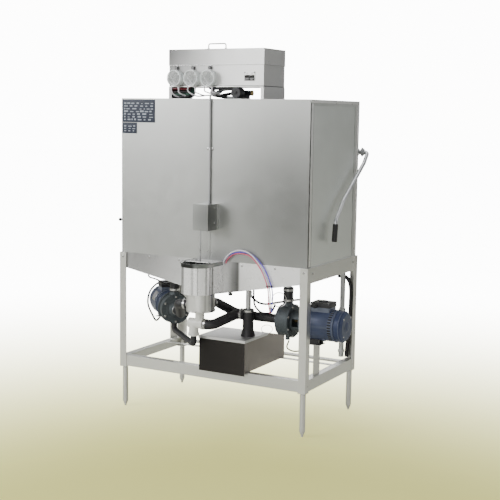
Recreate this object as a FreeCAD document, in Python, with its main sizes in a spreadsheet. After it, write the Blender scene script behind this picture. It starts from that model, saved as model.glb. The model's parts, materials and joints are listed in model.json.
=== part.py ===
import FreeCAD, Part
import math
import os
import Sketcher

# Upright two-rack commercial dishwasher: an open angle frame carries a wash tank, a stainless
# hood with two lifting side doors, two wash pumps, the drain parts and a control box on top.
# Frame of reference: X to the machine's right, Y to the back, Z up; origin on the floor, at the
# centre of the frame. Every length is in millimetres.

SIZES = {
    # angle frame
    "frame_width": 1134, "frame_depth": 625, "table_height": 860, "leg_bottom": 225,
    "leg_flange": 42, "leg_plate": 3, "foot_plate": 6, "rail_height": 59, "rail_flange": 40,
    "rear_rail_bottom": 250, "rear_rail_height": 20, "cross_bar_place": 85, "cross_bar_width": 30,
    "apron_height": 78, "bolt_radius": 4, "bolt_head": 7, "bolt_reach": 251,
    "foot_inset": 22, "foot_radius": 15, "foot_top": 218, "foot_taper": 28, "foot_tip": 6,
    "foot_tip_height": 6,
    "stud_radius": 8, "stud_top": 262,
    # hood
    "hood_width": 1118, "hood_depth": 606, "hood_top": 1688, "sheet": 1.5, "seam": 2,
    "front_strip": 41, "rear_strip": 57, "top_strip": 30, "wall_place": 520,
    "opening_depth": 520, "opening_top": 1300, "guide_front": 20, "guide_rear": 26,
    "guide_place": 543, "door_place": 556.5, "door_fold": 12, "door_front": 289,
    "door_rear": 277, "door_bottom": 862, "door_top": 1664, "slot_gap": 1.5,
    # door lift
    "shaft_back": 348, "shaft_height": 1418, "shaft_radius": 12.5, "shaft_left": 545,
    "shaft_right": 575, "arm_length": 320, "arm_angle": 42.5, "arm_place": 531,
    "arm_plate": 6, "arm_width": 30, "hub_radius": 22, "pin_radius": 12, "pin_length": 15,
    "channel_play": 10, "channel_flange": 2, "channel_depth": 14, "channel_front": 0,
    "channel_rear": 140, "arm_slot": 80, "guide_slot": 104,
    "bearing_place": 430, "bearing_width": 40, "bearing_fit": 0.05,
    "spring_place": 290, "spring_length": 100, "spring_pitch": 7, "spring_radius": 19,
    "spring_wire": 2.5, "slip": 0.05, "lever_place": 594, "lever_radius": 10.5, "lever_wall": 2.5,
    "grip_radius": 13.5, "grip_length": 92,
    # wash tank
    "tank_wall": 2, "tank_end": 782, "tank_keel": 677, "shelf_width": 46, "shelf_plate": 3,
    "mouth_width": 130, "mouth_bottom": 700, "mouth_top": 845, "screen_height": 812,
    "screen_plate": 2, "rack_rail_inner": 225, "rack_rail_outer": 258, "rack_rail_length": 540,
    "rack_rail_top": 885, "rack_rail_plate": 3,
    # wash system
    "rack_centre": 256, "riser_back": 280, "pipe_radius": 17, "pipe_wall": 3,
    "lower_run": 790, "upper_run": 1365, "spindle_radius": 10, "spindle_fit": 0.06,
    "arm_reach": 230, "spray_width": 32, "spray_height": 16, "spray_hub": 19,
    "lower_spray": 829, "upper_spray": 1318, "cap_radius": 16, "nozzle_radius": 3,
    # pumps
    "pump_height": 558, "right_pump_x": 310, "right_pump_y": -150,
    "left_pump_x": -275, "left_pump_y": -185, "left_pump_drop": 13, "left_pump_turn": 45,
    "inlet_length": 35, "inlet_radius": 19, "inlet_bore": 15, "casing_length": 75,
    "casing_radius": 80, "casing_wall": 10, "outlet_radius": 20, "outlet_height": 122,
    "adapter_length": 55, "adapter_radius": 56, "motor_radius": 81, "motor_length": 240,
    "motor_shaft": 8, "motor_fit": 0.06, "motor_bore": 130, "impeller_radius": 56,
    "impeller_plate": 6, "vane_height": 14, "vane_width": 3,
    "terminal_width": 100, "terminal_depth": 84, "terminal_height": 34,
    "support_width": 74, "support_top": 452, "strap_back": 13, "saddle_height": 40, "saddle_length": 40,
    "right_saddle": 20, "left_saddle": 150, "left_strap_y": 202, "left_plate_front": 8,
    "left_plate_width": 84, "pivot_radius": 1.2, "pivot_y": -264.7, "inlet_end": 136,
    "hose_radius": 24, "manifold_end": 705, "sleeve_overlap": 26,
    # scrap accumulator, sump pot and drain
    "trap_radius": 83, "trap_place": 423, "trap_bottom": 703, "trap_top": 862, "trap_wall": 2,
    "trap_lip": 5, "basket_radius": 78, "basket_back": 387, "basket_bottom": 712,
    "basket_top": 858, "basket_wall": 1.5, "slot_width": 3, "slot_height": 60,
    "pot_radius": 74, "pot_place": 392, "pot_bottom": 606, "pot_hole": 66, "port_height": 632,
    "port_length": 32, "rod_side": -12, "rod_place": 380, "rod_radius": 4, "plug_radius": 26,
    "plug_height": 14, "seat_radius": 20, "plunger_radius": 10, "plunger_bottom": 1036,
    "plunger_top": 1094, "coil_radius": 21, "coil_bottom": 1064, "coil_top": 1132,
    "fitting_height": 536, "fitting_radius": 26, "fitting_bore": 20, "fitting_left": 48,
    "fitting_right": 14, "fitting_leg": 470, "spigot_radius": 20, "spigot_length": 26,
    "drain_radius": 26, "casing_stub": 12, "casing_hose": 16,
    "boot_x": 178, "boot_y": -206, "boot_base": 38, "boot_radius": 29, "boot_top": 604,
    "boot_port": 572, "overflow_radius": 13.5, "overflow_wall": 2, "overflow_top": 782,
    "box_left": -45, "box_right": 228, "box_front": 330, "box_lid_back": 80, "box_back": 120,
    "box_bottom": 290, "box_top": 461, "box_low": 414, "box_sheet": 1.5, "box_skirt": 14,
    "outlet_side": 90, "outlet_level": 335, "outlet_pipe": 25.4, "outlet_bore": 22,
    "outlet_reach": 45,
    "lid_overhang": 3, "lid_drop": 12,
    # drain solenoid cover and conduit on the hood front
    "cover_left": 43, "cover_right": 47, "cover_front": 405, "cover_bottom": 1022,
    "cover_top": 1155, "conduit_side": -3, "conduit_front": 310, "conduit_radius": 5.5,
    # control box
    "control_width": 564, "control_front": 268, "control_back": 38, "control_bottom": 1748,
    "control_top": 1940, "control_lip": 1857, "control_wall": 1900, "control_gap": 0.3,
    "stand_width": 18, "handle_span": 102, "handle_height": 26, "handle_wire": 3.5,
    "handle_place": 250, "head_pitch": 101, "head_first": -232, "head_height": 1792,
    "head_radius": 42, "head_depth": 26, "head_wall": 4, "head_glass": 8, "rotor_reach": 24,
    "rotor_roller": 7, "rotor_hub": 10, "rotor_shaft": 4, "button_height": 1845,
    "button_radius": 9.5, "button_cap": 8, "button_stem": 5, "button_gap": 3.8,
    "switch_x": 200, "switch_height": 1803, "switch_width": 62, "switch_tall": 46,
    "rocker_pitch": 28, "rocker_height": 1793, "rocker_width": 21, "rocker_tall": 19,
    "rocker_depth": 9, "valve_x": 126, "valve_front": 276, "valve_depth": 50,
    "valve_radius": 27, "valve_height": 1719, "valve_body": 13,
}

doc = FreeCAD.newDocument("dishwasher")
sheet = doc.addObject("Spreadsheet::Sheet", "dims")


class Size:
    """A length that knows its value and the sheet expression it comes from."""

    def __init__(self, value, text):
        self.value = value
        self.text = text

    def __add__(self, other):
        return combine(self, "+", other)

    def __radd__(self, other):
        return combine(other, "+", self)

    def __sub__(self, other):
        return combine(self, "-", other)

    def __rsub__(self, other):
        return combine(other, "-", self)

    def __mul__(self, other):
        return combine(self, "*", other)

    def __rmul__(self, other):
        return combine(other, "*", self)

    def __truediv__(self, other):
        return combine(self, "/", other)

    def __neg__(self):
        return combine(0, "-", self)


def as_size(item):
    if isinstance(item, Size):
        return item
    return Size(float(item), "(%.6f)" % item)


def combine(first, sign, second):
    a = as_size(first)
    b = as_size(second)
    results = {
        "+": lambda: a.value + b.value,
        "-": lambda: a.value - b.value,
        "*": lambda: a.value * b.value,
        "/": lambda: a.value / b.value,
    }
    return Size(results[sign](), "(%s %s %s)" % (a.text, sign, b.text))


class Dims:
    """Named sizes, each one a cell of the sheet."""


def fill_sheet():
    named = Dims()
    for row, (name, value) in enumerate(SIZES.items(), start=1):
        cell = "A%d" % row
        sheet.set(cell, str(value))
        sheet.setAlias(cell, name)
        setattr(named, name, Size(float(value), "dims." + name))
    doc.recompute()
    return named


d = fill_sheet()
nodes = []
serial = [0]


# ---------------------------------------------------------------- small building blocks

def unique(kind):
    serial[0] += 1
    return "%s_%03d" % (kind, serial[0])


def tie(item, prop, size):
    item.setExpression(prop, as_size(size).text)


def place(item, x, y, z):
    tie(item, "Placement.Base.x", x)
    tie(item, "Placement.Base.y", y)
    tie(item, "Placement.Base.z", z)


def turn_to(item, axis):
    """Lay the local Z direction along world X, Y or Z."""
    turns = {
        "x": FreeCAD.Rotation(FreeCAD.Vector(0, 1, 0), 90),
        "y": FreeCAD.Rotation(FreeCAD.Vector(1, 0, 0), -90),
        "z": FreeCAD.Rotation(),
    }
    item.Placement = FreeCAD.Placement(FreeCAD.Vector(), turns[axis])


def along(axis, start, across):
    """World corner of a round piece whose axis starts at start and sits at across."""
    first, second = across
    if axis == "x":
        return start, first, second
    if axis == "y":
        return first, start, second
    return first, second, start


def box(x, y, z):
    item = doc.addObject("Part::Box", unique("box"))
    for prop, span in (("Length", x), ("Width", y), ("Height", z)):
        tie(item, prop, as_size(span[1]) - span[0])
    place(item, x[0], y[0], z[0])
    return item


def rod(axis, across, span, radius):
    item = doc.addObject("Part::Cylinder", unique("rod"))
    turn_to(item, axis)
    tie(item, "Radius", radius)
    tie(item, "Height", as_size(span[1]) - span[0])
    place(item, *along(axis, span[0], across))
    return item


def cone(axis, across, span, first_radius, last_radius):
    item = doc.addObject("Part::Cone", unique("cone"))
    turn_to(item, axis)
    tie(item, "Radius1", first_radius)
    tie(item, "Radius2", last_radius)
    tie(item, "Height", as_size(span[1]) - span[0])
    place(item, *along(axis, span[0], across))
    return item


def fuse(*items):
    item = doc.addObject("Part::MultiFuse", unique("fuse"))
    item.Shapes = list(items)
    item.Refine = True
    return item


def cut(base, *tools):
    tool = tools[0] if len(tools) == 1 else fuse(*tools)
    item = doc.addObject("Part::Cut", unique("cut"))
    item.Base = base
    item.Tool = tool
    return item


def common(first, second):
    item = doc.addObject("Part::MultiCommon", unique("common"))
    item.Shapes = [first, second]
    return item


def mirror(source, normal):
    item = doc.addObject("Part::Mirroring", unique("mirror"))
    item.Source = source
    item.Base = FreeCAD.Vector(0, 0, 0)
    item.Normal = FreeCAD.Vector(*normal)
    return item


def both_sides(source):
    return source, mirror(source, (1, 0, 0))


def four_corners(source):
    left = mirror(source, (1, 0, 0))
    return source, left, mirror(source, (0, 1, 0)), mirror(left, (0, 1, 0))


def node(label, *items):
    """Name a sub-part; several separate solids become one compound."""
    if len(items) == 1:
        item = items[0]
    else:
        item = doc.addObject("Part::Compound", unique("group"))
        item.Links = list(items)
    item.Label = label
    nodes.append(item)


def new_body(kind):
    return doc.addObject("PartDesign::Body", unique(kind))


def origin_plane(body, role):
    for feature in body.Origin.OriginFeatures:
        if feature.Role == role:
            return feature
    raise ValueError("no plane " + role)


def datum(sketch, kind, geometry, point, size):
    size = as_size(size)
    rule = Sketcher.Constraint(kind, -1, 1, geometry, point, size.value)
    index = sketch.addConstraint(rule)
    sketch.setExpression("Constraints[%d]" % index, size.text)


def draw_polygon(sketch, corners):
    first = sketch.GeometryCount
    count = len(corners)
    points = [FreeCAD.Vector(as_size(u).value, as_size(v).value, 0) for u, v in corners]
    for index in range(count):
        line = Part.LineSegment(points[index], points[(index + 1) % count])
        sketch.addGeometry(line, False)
    for index in range(count):
        following = first + (index + 1) % count
        sketch.addConstraint(Sketcher.Constraint("Coincident", first + index, 2, following, 1))
    for index, (u, v) in enumerate(corners):
        datum(sketch, "DistanceX", first + index, 1, u)
        datum(sketch, "DistanceY", first + index, 1, v)


def draw_circle(sketch, centre, radius):
    u, v = as_size(centre[0]), as_size(centre[1])
    radius = as_size(radius)
    middle = FreeCAD.Vector(u.value, v.value, 0)
    circle = Part.Circle(middle, FreeCAD.Vector(0, 0, 1), radius.value)
    index = sketch.addGeometry(circle, False)
    rule = sketch.addConstraint(Sketcher.Constraint("Radius", index, radius.value))
    sketch.setExpression("Constraints[%d]" % rule, radius.text)
    datum(sketch, "DistanceX", index, 3, u)
    datum(sketch, "DistanceY", index, 3, v)


def sketch_in(body, role, loops, offset=0):
    """Sketch of closed loops: a list of corners, or a (centre, radius) pair for a circle."""
    sketch = body.newObject("Sketcher::SketchObject", unique("sketch"))
    sketch.AttachmentSupport = [(origin_plane(body, role), "")]
    sketch.MapMode = "FlatFace"
    tie(sketch, "AttachmentOffset.Base.z", offset)
    for loop in loops:
        if len(loop) == 2:
            draw_circle(sketch, *loop)
        else:
            draw_polygon(sketch, loop)
    return sketch


def pad(body, role, loops, length, offset=0):
    """Pad from the plane towards +Z, +X, or -Y for the upright front plane."""
    feature = body.newObject("PartDesign::Pad", unique("pad"))
    feature.Profile = sketch_in(body, role, loops, offset)
    tie(feature, "Length", length)
    return feature


def revolve(body, outline):
    """Turn an outline of (radius, height) corners round the local Z axis."""
    feature = body.newObject("PartDesign::Revolution", unique("turned"))
    sketch = sketch_in(body, "XZ_Plane", [outline])
    feature.Profile = sketch
    feature.ReferenceAxis = (sketch, ["V_Axis"])
    feature.Angle = 360
    return feature


def plate_xy(loops, z):
    body = new_body("plate")
    pad(body, "XY_Plane", loops, as_size(z[1]) - z[0])
    place(body, 0, 0, z[0])
    return body


def plate_xz(loops, y):
    body = new_body("plate")
    pad(body, "XZ_Plane", loops, as_size(y[1]) - y[0])
    place(body, 0, y[1], 0)
    return body


def plate_yz(loops, x):
    body = new_body("plate")
    pad(body, "YZ_Plane", loops, as_size(x[1]) - x[0])
    place(body, x[0], 0, 0)
    return body


def rectangle(u0, u1, v0, v1):
    return [(u0, v0), (u1, v0), (u1, v1), (u0, v1)]


def rounded_path(points, bend):
    """Wire through the points with every corner rounded to the bend radius."""
    corners = [FreeCAD.Vector(*[as_size(value).value for value in point]) for point in points]
    edges = []
    start = corners[0]
    for index in range(1, len(corners) - 1):
        corner = corners[index]
        back = (corners[index - 1] - corner).normalize()
        ahead = (corners[index + 1] - corner).normalize()
        half = back.getAngle(ahead) / 2
        reach = bend / math.tan(half)
        middle = (back + ahead).normalize()
        enter = corner + back * reach
        leave = corner + ahead * reach
        inside = corner + middle * (bend / math.sin(half) - bend)
        edges.append(Part.makeLine(start, enter))
        edges.append(Part.Arc(enter, inside, leave).toShape())
        start = leave
    edges.append(Part.makeLine(start, corners[-1]))
    return Part.Wire(edges)


def swept(points, bend, radius):
    path = rounded_path(points, bend)
    start = path.Edges[0].valueAt(path.Edges[0].FirstParameter)
    heading = path.Edges[0].tangentAt(path.Edges[0].FirstParameter)
    circle = Part.Wire([Part.makeCircle(as_size(radius).value, start, heading)])
    return path.makePipeShell([circle], True, False)


def bent_tube(points, bend, outer, inner):
    item = doc.addObject("Part::Feature", unique("tube"))
    shape = swept(points, bend, outer)
    if as_size(inner).value > 0:
        shape = shape.cut(swept(points, bend, inner))
    item.Shape = shape
    return item


# ---------------------------------------------------------------- angle frame

frame_x = d.frame_width / 2
frame_y = d.frame_depth / 2
rail_x = frame_x - d.leg_plate
rail_y = frame_y - d.leg_plate
rail_low = d.leg_bottom + d.foot_plate
rail_top = rail_low + d.rail_height
apron_low = d.table_height - d.apron_height


def make_legs():
    angle = [
        (0, 0), (0, d.leg_flange), (-d.leg_plate, d.leg_flange),
        (-d.leg_plate, d.leg_plate), (-d.leg_flange, d.leg_plate), (-d.leg_flange, 0),
    ]
    leg = new_body("leg")
    pad(leg, "XY_Plane", [angle], d.table_height - d.leg_bottom)
    corner = rectangle(-d.leg_flange, -d.leg_plate, d.leg_plate, d.leg_flange)
    hole = ((-d.foot_inset, d.foot_inset), d.stud_radius + 0.5)
    pad(leg, "XY_Plane", [corner, hole], d.foot_plate)
    place(leg, frame_x, -frame_y, d.leg_bottom)
    node("frame_legs", *four_corners(leg))


def make_rail(long_x, y_out, y_in, z_low, z_top, flange_end):
    """Angle rail along X: an upright leaf and a level leaf at its top."""
    upright = box((-long_x, long_x), (y_out, y_in), (z_low, z_top))
    level = box((-long_x + d.rail_flange, long_x - d.rail_flange), (y_in, flange_end),
                (z_top - d.leg_plate, z_top))
    return fuse(upright, level)


def make_rails():
    front = make_rail(rail_x, -rail_y, -rail_y + d.leg_plate, rail_low, rail_top,
                      -rail_y + d.rail_flange)
    rear_low = d.rear_rail_bottom
    rear_top = rear_low + d.rear_rail_height
    upright = box((-rail_x, rail_x), (rail_y - d.leg_plate, rail_y), (rear_low, rear_top))
    level = box((-rail_x + d.rail_flange, rail_x - d.rail_flange),
                (rail_y - d.rail_flange, rail_y - d.leg_plate), (rear_top - d.leg_plate, rear_top))
    rear = fuse(upright, level)
    side_y = rail_y - d.leg_plate
    side = fuse(
        box((rail_x - d.leg_plate, rail_x), (-side_y, side_y), (rail_low, rail_top)),
        box((rail_x - d.rail_flange, rail_x - d.leg_plate), (-side_y, side_y),
            (rail_top - d.leg_plate, rail_top)))
    bar = box((-rail_x + d.rail_flange, rail_x - d.rail_flange),
              (d.cross_bar_place, d.cross_bar_place + d.cross_bar_width),
              (rail_top - d.leg_plate, rail_top))
    node("bottom_rails", front, rear, bar, *both_sides(side))


def apron_holes(clearance):
    height = d.table_height - d.apron_height / 2 + 8
    radius = d.bolt_radius + clearance
    holes = [((y, height), radius) for y in (-d.bolt_reach, d.bolt_reach)]
    return holes


def make_aprons():
    side_y = rail_y - d.leg_plate
    sheet_outline = rectangle(-side_y, side_y, apron_low, d.table_height)
    apron = plate_yz([sheet_outline] + apron_holes(0.2), (rail_x - d.leg_plate, rail_x))
    node("side_aprons", *both_sides(apron))


def make_bolt(y, z):
    """Hexagon screw through the apron and the tank end, with its head outside."""
    body = new_body("bolt")
    corners = []
    for step in range(6):
        angle = math.radians(60 * step)
        corners.append((d.bolt_head * math.cos(angle), d.bolt_head * math.sin(angle)))
    pad(body, "YZ_Plane", [corners], 5)
    pad(body, "YZ_Plane", [((0, 0), d.bolt_radius)], 12, offset=-12)
    place(body, rail_x, y, z)
    return body


def make_bolts():
    height = d.table_height - d.apron_height / 2 + 8
    front = make_bolt(-d.bolt_reach, height)
    rear = make_bolt(d.bolt_reach, height)
    node("frame_bolts", *(both_sides(front) + both_sides(rear)))


def make_feet():
    foot = new_body("foot")
    revolve(foot, [
        (0, 0), (d.foot_tip, 0), (d.foot_tip, d.foot_tip_height),
        (d.foot_radius, d.foot_taper), (d.foot_radius, d.foot_top),
        (d.stud_radius, d.foot_top), (d.stud_radius, d.stud_top), (0, d.stud_top),
    ])
    place(foot, frame_x - d.foot_inset, -frame_y + d.foot_inset, 0)
    node("leveling_feet", *four_corners(foot))


# ---------------------------------------------------------------- hood and doors

hood_x = d.hood_width / 2
hood_y = d.hood_depth / 2
inner_y = hood_y - d.sheet
roof = d.hood_top - d.sheet
strip_x = hood_x - d.sheet


def make_front_panels():
    face = box((d.seam / 2, hood_x), (-hood_y, -inner_y), (d.table_height, d.hood_top))
    strip = box((strip_x, hood_x), (-inner_y, -hood_y + d.front_strip), (d.table_height, roof))
    right = fuse(face, strip)
    node("front_panel_right", right)
    node("front_panel_left", mirror(right, (1, 0, 0)))


def arm_slot(half_height, y0, y1):
    return box((d.arm_place - 3, d.arm_place + d.arm_plate + 3), (y0, y1),
               (d.shaft_height - half_height, d.shaft_height + half_height))


def make_back_panel():
    face = box((-hood_x, hood_x), (inner_y, hood_y), (d.table_height, d.hood_top))
    strip = box((strip_x, hood_x), (hood_y - d.rear_strip, inner_y), (d.table_height, roof))
    slots = both_sides(arm_slot(d.arm_slot, inner_y - 1, hood_y + 1))
    node("back_panel", cut(fuse(face, *both_sides(strip)), *slots))


def make_top_panel():
    gap = d.slot_gap
    plate = box((-hood_x, hood_x), (-inner_y, inner_y), (roof, d.hood_top))
    slot = box((d.door_place - d.door_fold - gap, strip_x),
               (-d.door_front - gap, d.door_rear + gap), (roof - 1, d.hood_top + 1))
    strip = box((strip_x, hood_x), (-hood_y + d.front_strip, hood_y - d.rear_strip),
                (d.hood_top - d.top_strip, roof))
    node("top_panel", fuse(cut(plate, *both_sides(slot)), *both_sides(strip)))


def make_side_frames():
    half = d.opening_depth / 2
    wall = plate_yz([[
        (-inner_y, d.table_height), (-half, d.table_height), (-half, d.opening_top),
        (half, d.opening_top), (half, d.table_height), (inner_y, d.table_height),
        (inner_y, roof), (-inner_y, roof),
    ]], (d.wall_place, d.wall_place + d.sheet))
    out = (d.wall_place + d.sheet, d.guide_place)
    front = box(out, (-inner_y, -inner_y + d.guide_front), (d.table_height, roof))
    rear = box(out, (inner_y - d.guide_rear, inner_y), (d.table_height, roof))
    slot = arm_slot(d.guide_slot, inner_y - d.guide_rear - 1, inner_y + 1)
    node("side_frames", *both_sides(fuse(wall, front, cut(rear, slot))))


def make_doors():
    """Folded pan with a channel on its inner face that the lift pin runs in."""
    y = (-d.door_front, d.door_rear)
    z = (d.door_bottom, d.door_top)
    inside = d.door_place - d.door_fold
    skin = d.door_place - d.sheet
    pan = cut(box((inside, d.door_place), y, z),
              box((inside - 1, skin), (y[0] + d.sheet, y[1] - d.sheet),
                  (z[0] + d.sheet, z[1] - d.sheet)))
    drop = d.arm_length * math.sin(math.radians(SIZES["arm_angle"]))
    centre = d.shaft_height - drop
    clear = d.pin_radius + d.channel_play
    channel_y = (d.channel_front, d.channel_rear)
    channel_x = (skin - d.channel_depth, skin)
    upper = box(channel_x, channel_y, (centre + clear, centre + clear + d.channel_flange))
    lower = box(channel_x, channel_y, (centre - clear - d.channel_flange, centre - clear))
    door = fuse(pan, upper, lower)
    node("door_right", door)
    node("door_left", mirror(door, (1, 0, 0)))


# ---------------------------------------------------------------- door lift

def make_shaft():
    node("lever_shaft", rod("x", (d.shaft_back, d.shaft_height),
                            (-d.shaft_left, d.shaft_right), d.shaft_radius))


def make_lift_arms():
    """Flat arm with a pin at its tip; it hangs forward and down from the shaft."""
    arm = new_body("arm")
    half = d.arm_width / 2
    pad(arm, "XY_Plane", [((0, 0), d.hub_radius), ((0, 0), d.shaft_radius)], d.arm_plate)
    pad(arm, "XY_Plane", [rectangle(d.shaft_radius + 2, d.arm_length, -half, half)], d.arm_plate)
    pad(arm, "XY_Plane", [((d.arm_length, 0), half)], d.arm_plate)
    pad(arm, "XY_Plane", [((d.arm_length, 0), d.pin_radius)], d.arm_plate + d.pin_length)
    angle = math.radians(SIZES["arm_angle"])
    reach = FreeCAD.Vector(0, -math.cos(angle), -math.sin(angle))
    out = FreeCAD.Vector(1, 0, 0)
    arm.Placement = FreeCAD.Placement(
        FreeCAD.Vector(), FreeCAD.Rotation(reach, out.cross(reach), out, "ZXY"))
    place(arm, d.arm_place, d.shaft_back, d.shaft_height)
    node("lift_arms", *both_sides(arm))


def make_bearings():
    base = 45
    shoulder = 26
    outline = [
        (hood_y, d.shaft_height - base), (hood_y + 8, d.shaft_height - base),
        (hood_y + 8, d.shaft_height - shoulder), (d.shaft_back + 12, d.shaft_height - shoulder),
        (d.shaft_back + shoulder, d.shaft_height - 12),
        (d.shaft_back + shoulder, d.shaft_height + 12),
        (d.shaft_back + 12, d.shaft_height + shoulder), (hood_y + 8, d.shaft_height + shoulder),
        (hood_y + 8, d.shaft_height + base), (hood_y, d.shaft_height + base),
    ]
    bore = ((d.shaft_back, d.shaft_height), d.shaft_radius + d.bearing_fit)
    bearing = plate_yz([outline, bore], (d.bearing_place, d.bearing_place + d.bearing_width))
    node("shaft_bearings", *both_sides(bearing))


def make_springs():
    """Torsion springs wound round the shaft; each one's tail rests on the hood back."""
    pitch = SIZES["spring_pitch"]
    radius = SIZES["spring_radius"]
    wire = SIZES["spring_wire"]
    helix = Part.makeHelix(pitch, SIZES["spring_length"], radius)
    ring = Part.Wire([Part.makeCircle(wire, FreeCAD.Vector(radius, 0, 0),
                                      FreeCAD.Vector(0, 1, 0))])
    coil = Part.Wire(helix.Edges).makePipeShell([ring], True, True)
    tail_length = SIZES["shaft_back"] - SIZES["hood_depth"] / 2
    tail = Part.makeCylinder(wire, tail_length, FreeCAD.Vector(radius, 0, 0),
                             FreeCAD.Vector(0, -1, 0))
    item = doc.addObject("Part::Feature", unique("spring"))
    item.Shape = coil.fuse(tail)
    to_shaft = FreeCAD.Rotation(FreeCAD.Vector(0, 0, 1), FreeCAD.Vector(0, 1, 0),
                                FreeCAD.Vector(1, 0, 0), "ZXY")
    item.Placement = FreeCAD.Placement(
        FreeCAD.Vector(SIZES["spring_place"], SIZES["shaft_back"], SIZES["shaft_height"]),
        to_shaft)
    node("torsion_springs", *both_sides(item))


GRIP_BEND = (-50, 1083)
GRIP_END = (-63, 976)


def make_lever():
    """Bent handle tube: out from the shaft end, forward and down, then upright at the grip."""
    x = d.lever_place
    points = [
        (d.shaft_right, d.shaft_back, d.shaft_height), (x, d.shaft_back, d.shaft_height),
        (x, 300, 1362), (x, 40, 1177), (x, GRIP_BEND[0], GRIP_BEND[1]),
        (x, GRIP_END[0], GRIP_END[1]),
    ]
    inner = d.lever_radius - d.lever_wall
    node("lever_tube", bent_tube(points, 18, d.lever_radius, inner))


def make_grip():
    grip = new_body("grip")
    inside = d.lever_radius + d.slip
    nose = d.grip_radius - 3
    length = d.grip_length
    revolve(grip, [
        (inside, 0), (inside, length - 4), (0, length - 4), (0, length), (nose, length),
        (d.grip_radius, length - 3), (d.grip_radius, 3), (nose + 1, 0),
    ])
    heading = FreeCAD.Vector(0, GRIP_END[0] - GRIP_BEND[0], GRIP_END[1] - GRIP_BEND[1])
    heading.normalize()
    side = FreeCAD.Vector(1, 0, 0)
    grip.Placement = FreeCAD.Placement(
        FreeCAD.Vector(), FreeCAD.Rotation(side, heading.cross(side), heading, "ZXY"))
    back_off = length - 4
    place(grip, d.lever_place, GRIP_END[0] - heading.y * back_off,
          GRIP_END[1] - heading.z * back_off)
    node("lever_grip", grip)


# ---------------------------------------------------------------- wash tank and racks

def tank_outline(shift):
    end = rail_x - d.leg_plate - shift
    low = d.tank_end + shift
    keel = d.tank_keel + shift
    top = d.table_height + shift / 2
    return [(-end, top), (-end, low), (0, keel), (end, low), (end, top)]


def make_tank():
    wall = d.tank_wall
    outer = plate_xz([tank_outline(0)], (-hood_y, hood_y))
    inner = plate_xz([tank_outline(wall)], (-hood_y + wall, hood_y - wall))
    end = rail_x - d.leg_plate
    shelf = box((end - d.shelf_width, end), (-hood_y + wall, hood_y - wall),
                (d.table_height - d.shelf_plate, d.table_height))
    mouth = box((-d.mouth_width / 2, d.mouth_width / 2), (-hood_y - 1, -hood_y + wall + 1),
                (d.mouth_bottom, d.mouth_top))
    holes = []
    for x, y in manifold_inlets():
        holes.append(rod("z", (x, y), (d.tank_keel, d.table_height), d.pipe_radius + 0.2))
    holes.append(rod("z", (d.boot_x, d.boot_y), (d.tank_keel, d.table_height),
                     d.overflow_radius + 0.2))
    height = d.table_height - d.apron_height / 2 + 8
    for y in (-d.bolt_reach, d.bolt_reach):
        holes.append(rod("x", (y, height), (-end - 1, end + 1), d.bolt_radius + 0.2))
    shell = cut(outer, inner)
    node("wash_tank", cut(fuse(shell, *both_sides(shelf)), mouth, *holes))


def make_screens():
    """Slotted scrap screens that lie over the pipes, with room for hub, riser and standpipe."""
    wall_y = hood_y - d.tank_wall
    reach = rail_x - d.leg_plate - d.tank_wall
    z = (d.screen_height, d.screen_height + d.screen_plate)
    through = (d.screen_height - 1, d.screen_height + d.screen_plate + 1)
    tray = box((1, reach), (-wall_y, wall_y), z)
    tools = [
        rod("z", (d.rack_centre, 0), through, d.spray_hub + 8),
        rod("z", (d.rack_centre, d.riser_back), through, d.pipe_radius + 7),
    ]
    for row in range(5):
        for column in range(4):
            x = 40 + 128 * column
            y = -250 + 115 * row
            tools.append(box((x, x + 60), (y, y + 8), through))
    tray = cut(tray, *tools)
    node("tank_screens", *both_sides(tray))


def make_rack_rails():
    inner = d.rack_rail_inner
    outer = d.rack_rail_outer
    foot = d.table_height
    plate = d.rack_rail_plate
    rail = plate_yz([[
        (inner, foot), (outer, foot), (outer, d.rack_rail_top),
        (outer - plate, d.rack_rail_top), (outer - plate, foot + plate), (inner, foot + plate),
    ]], (-d.rack_rail_length, d.rack_rail_length))
    node("rack_rails", rail, mirror(rail, (0, 1, 0)))


# ---------------------------------------------------------------- pumps

def pump_turn(heading):
    """Lay the pump's local Z axis along a level heading, with its outlet pointing up."""
    axis = FreeCAD.Vector(*heading)
    down = FreeCAD.Vector(0, 0, -1)
    return FreeCAD.Rotation(down.cross(axis), down, axis, "ZYX")


def pump_frames():
    """Origin and heading of each pump's inlet face: right pump first."""
    angle = math.radians(SIZES["left_pump_turn"])
    left_heading = (-math.cos(angle), math.sin(angle), 0)
    right = (d.right_pump_x, d.right_pump_y, d.pump_height)
    left = (d.left_pump_x, d.left_pump_y, d.pump_height - d.left_pump_drop)
    return (right, (1, 0, 0)), (left, left_heading)


def set_pump(item, frame):
    origin, heading = frame
    item.Placement = FreeCAD.Placement(FreeCAD.Vector(), pump_turn(heading))
    place(item, *origin)


def beyond(frame, distance):
    """World X and Y of a point on the pump axis."""
    origin, heading = frame
    return origin[0] + distance * heading[0], origin[1] + distance * heading[1]


def manifold_inlets():
    middle = d.inlet_length + d.casing_length / 2
    return [beyond(frame, middle) for frame in pump_frames()]


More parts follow.
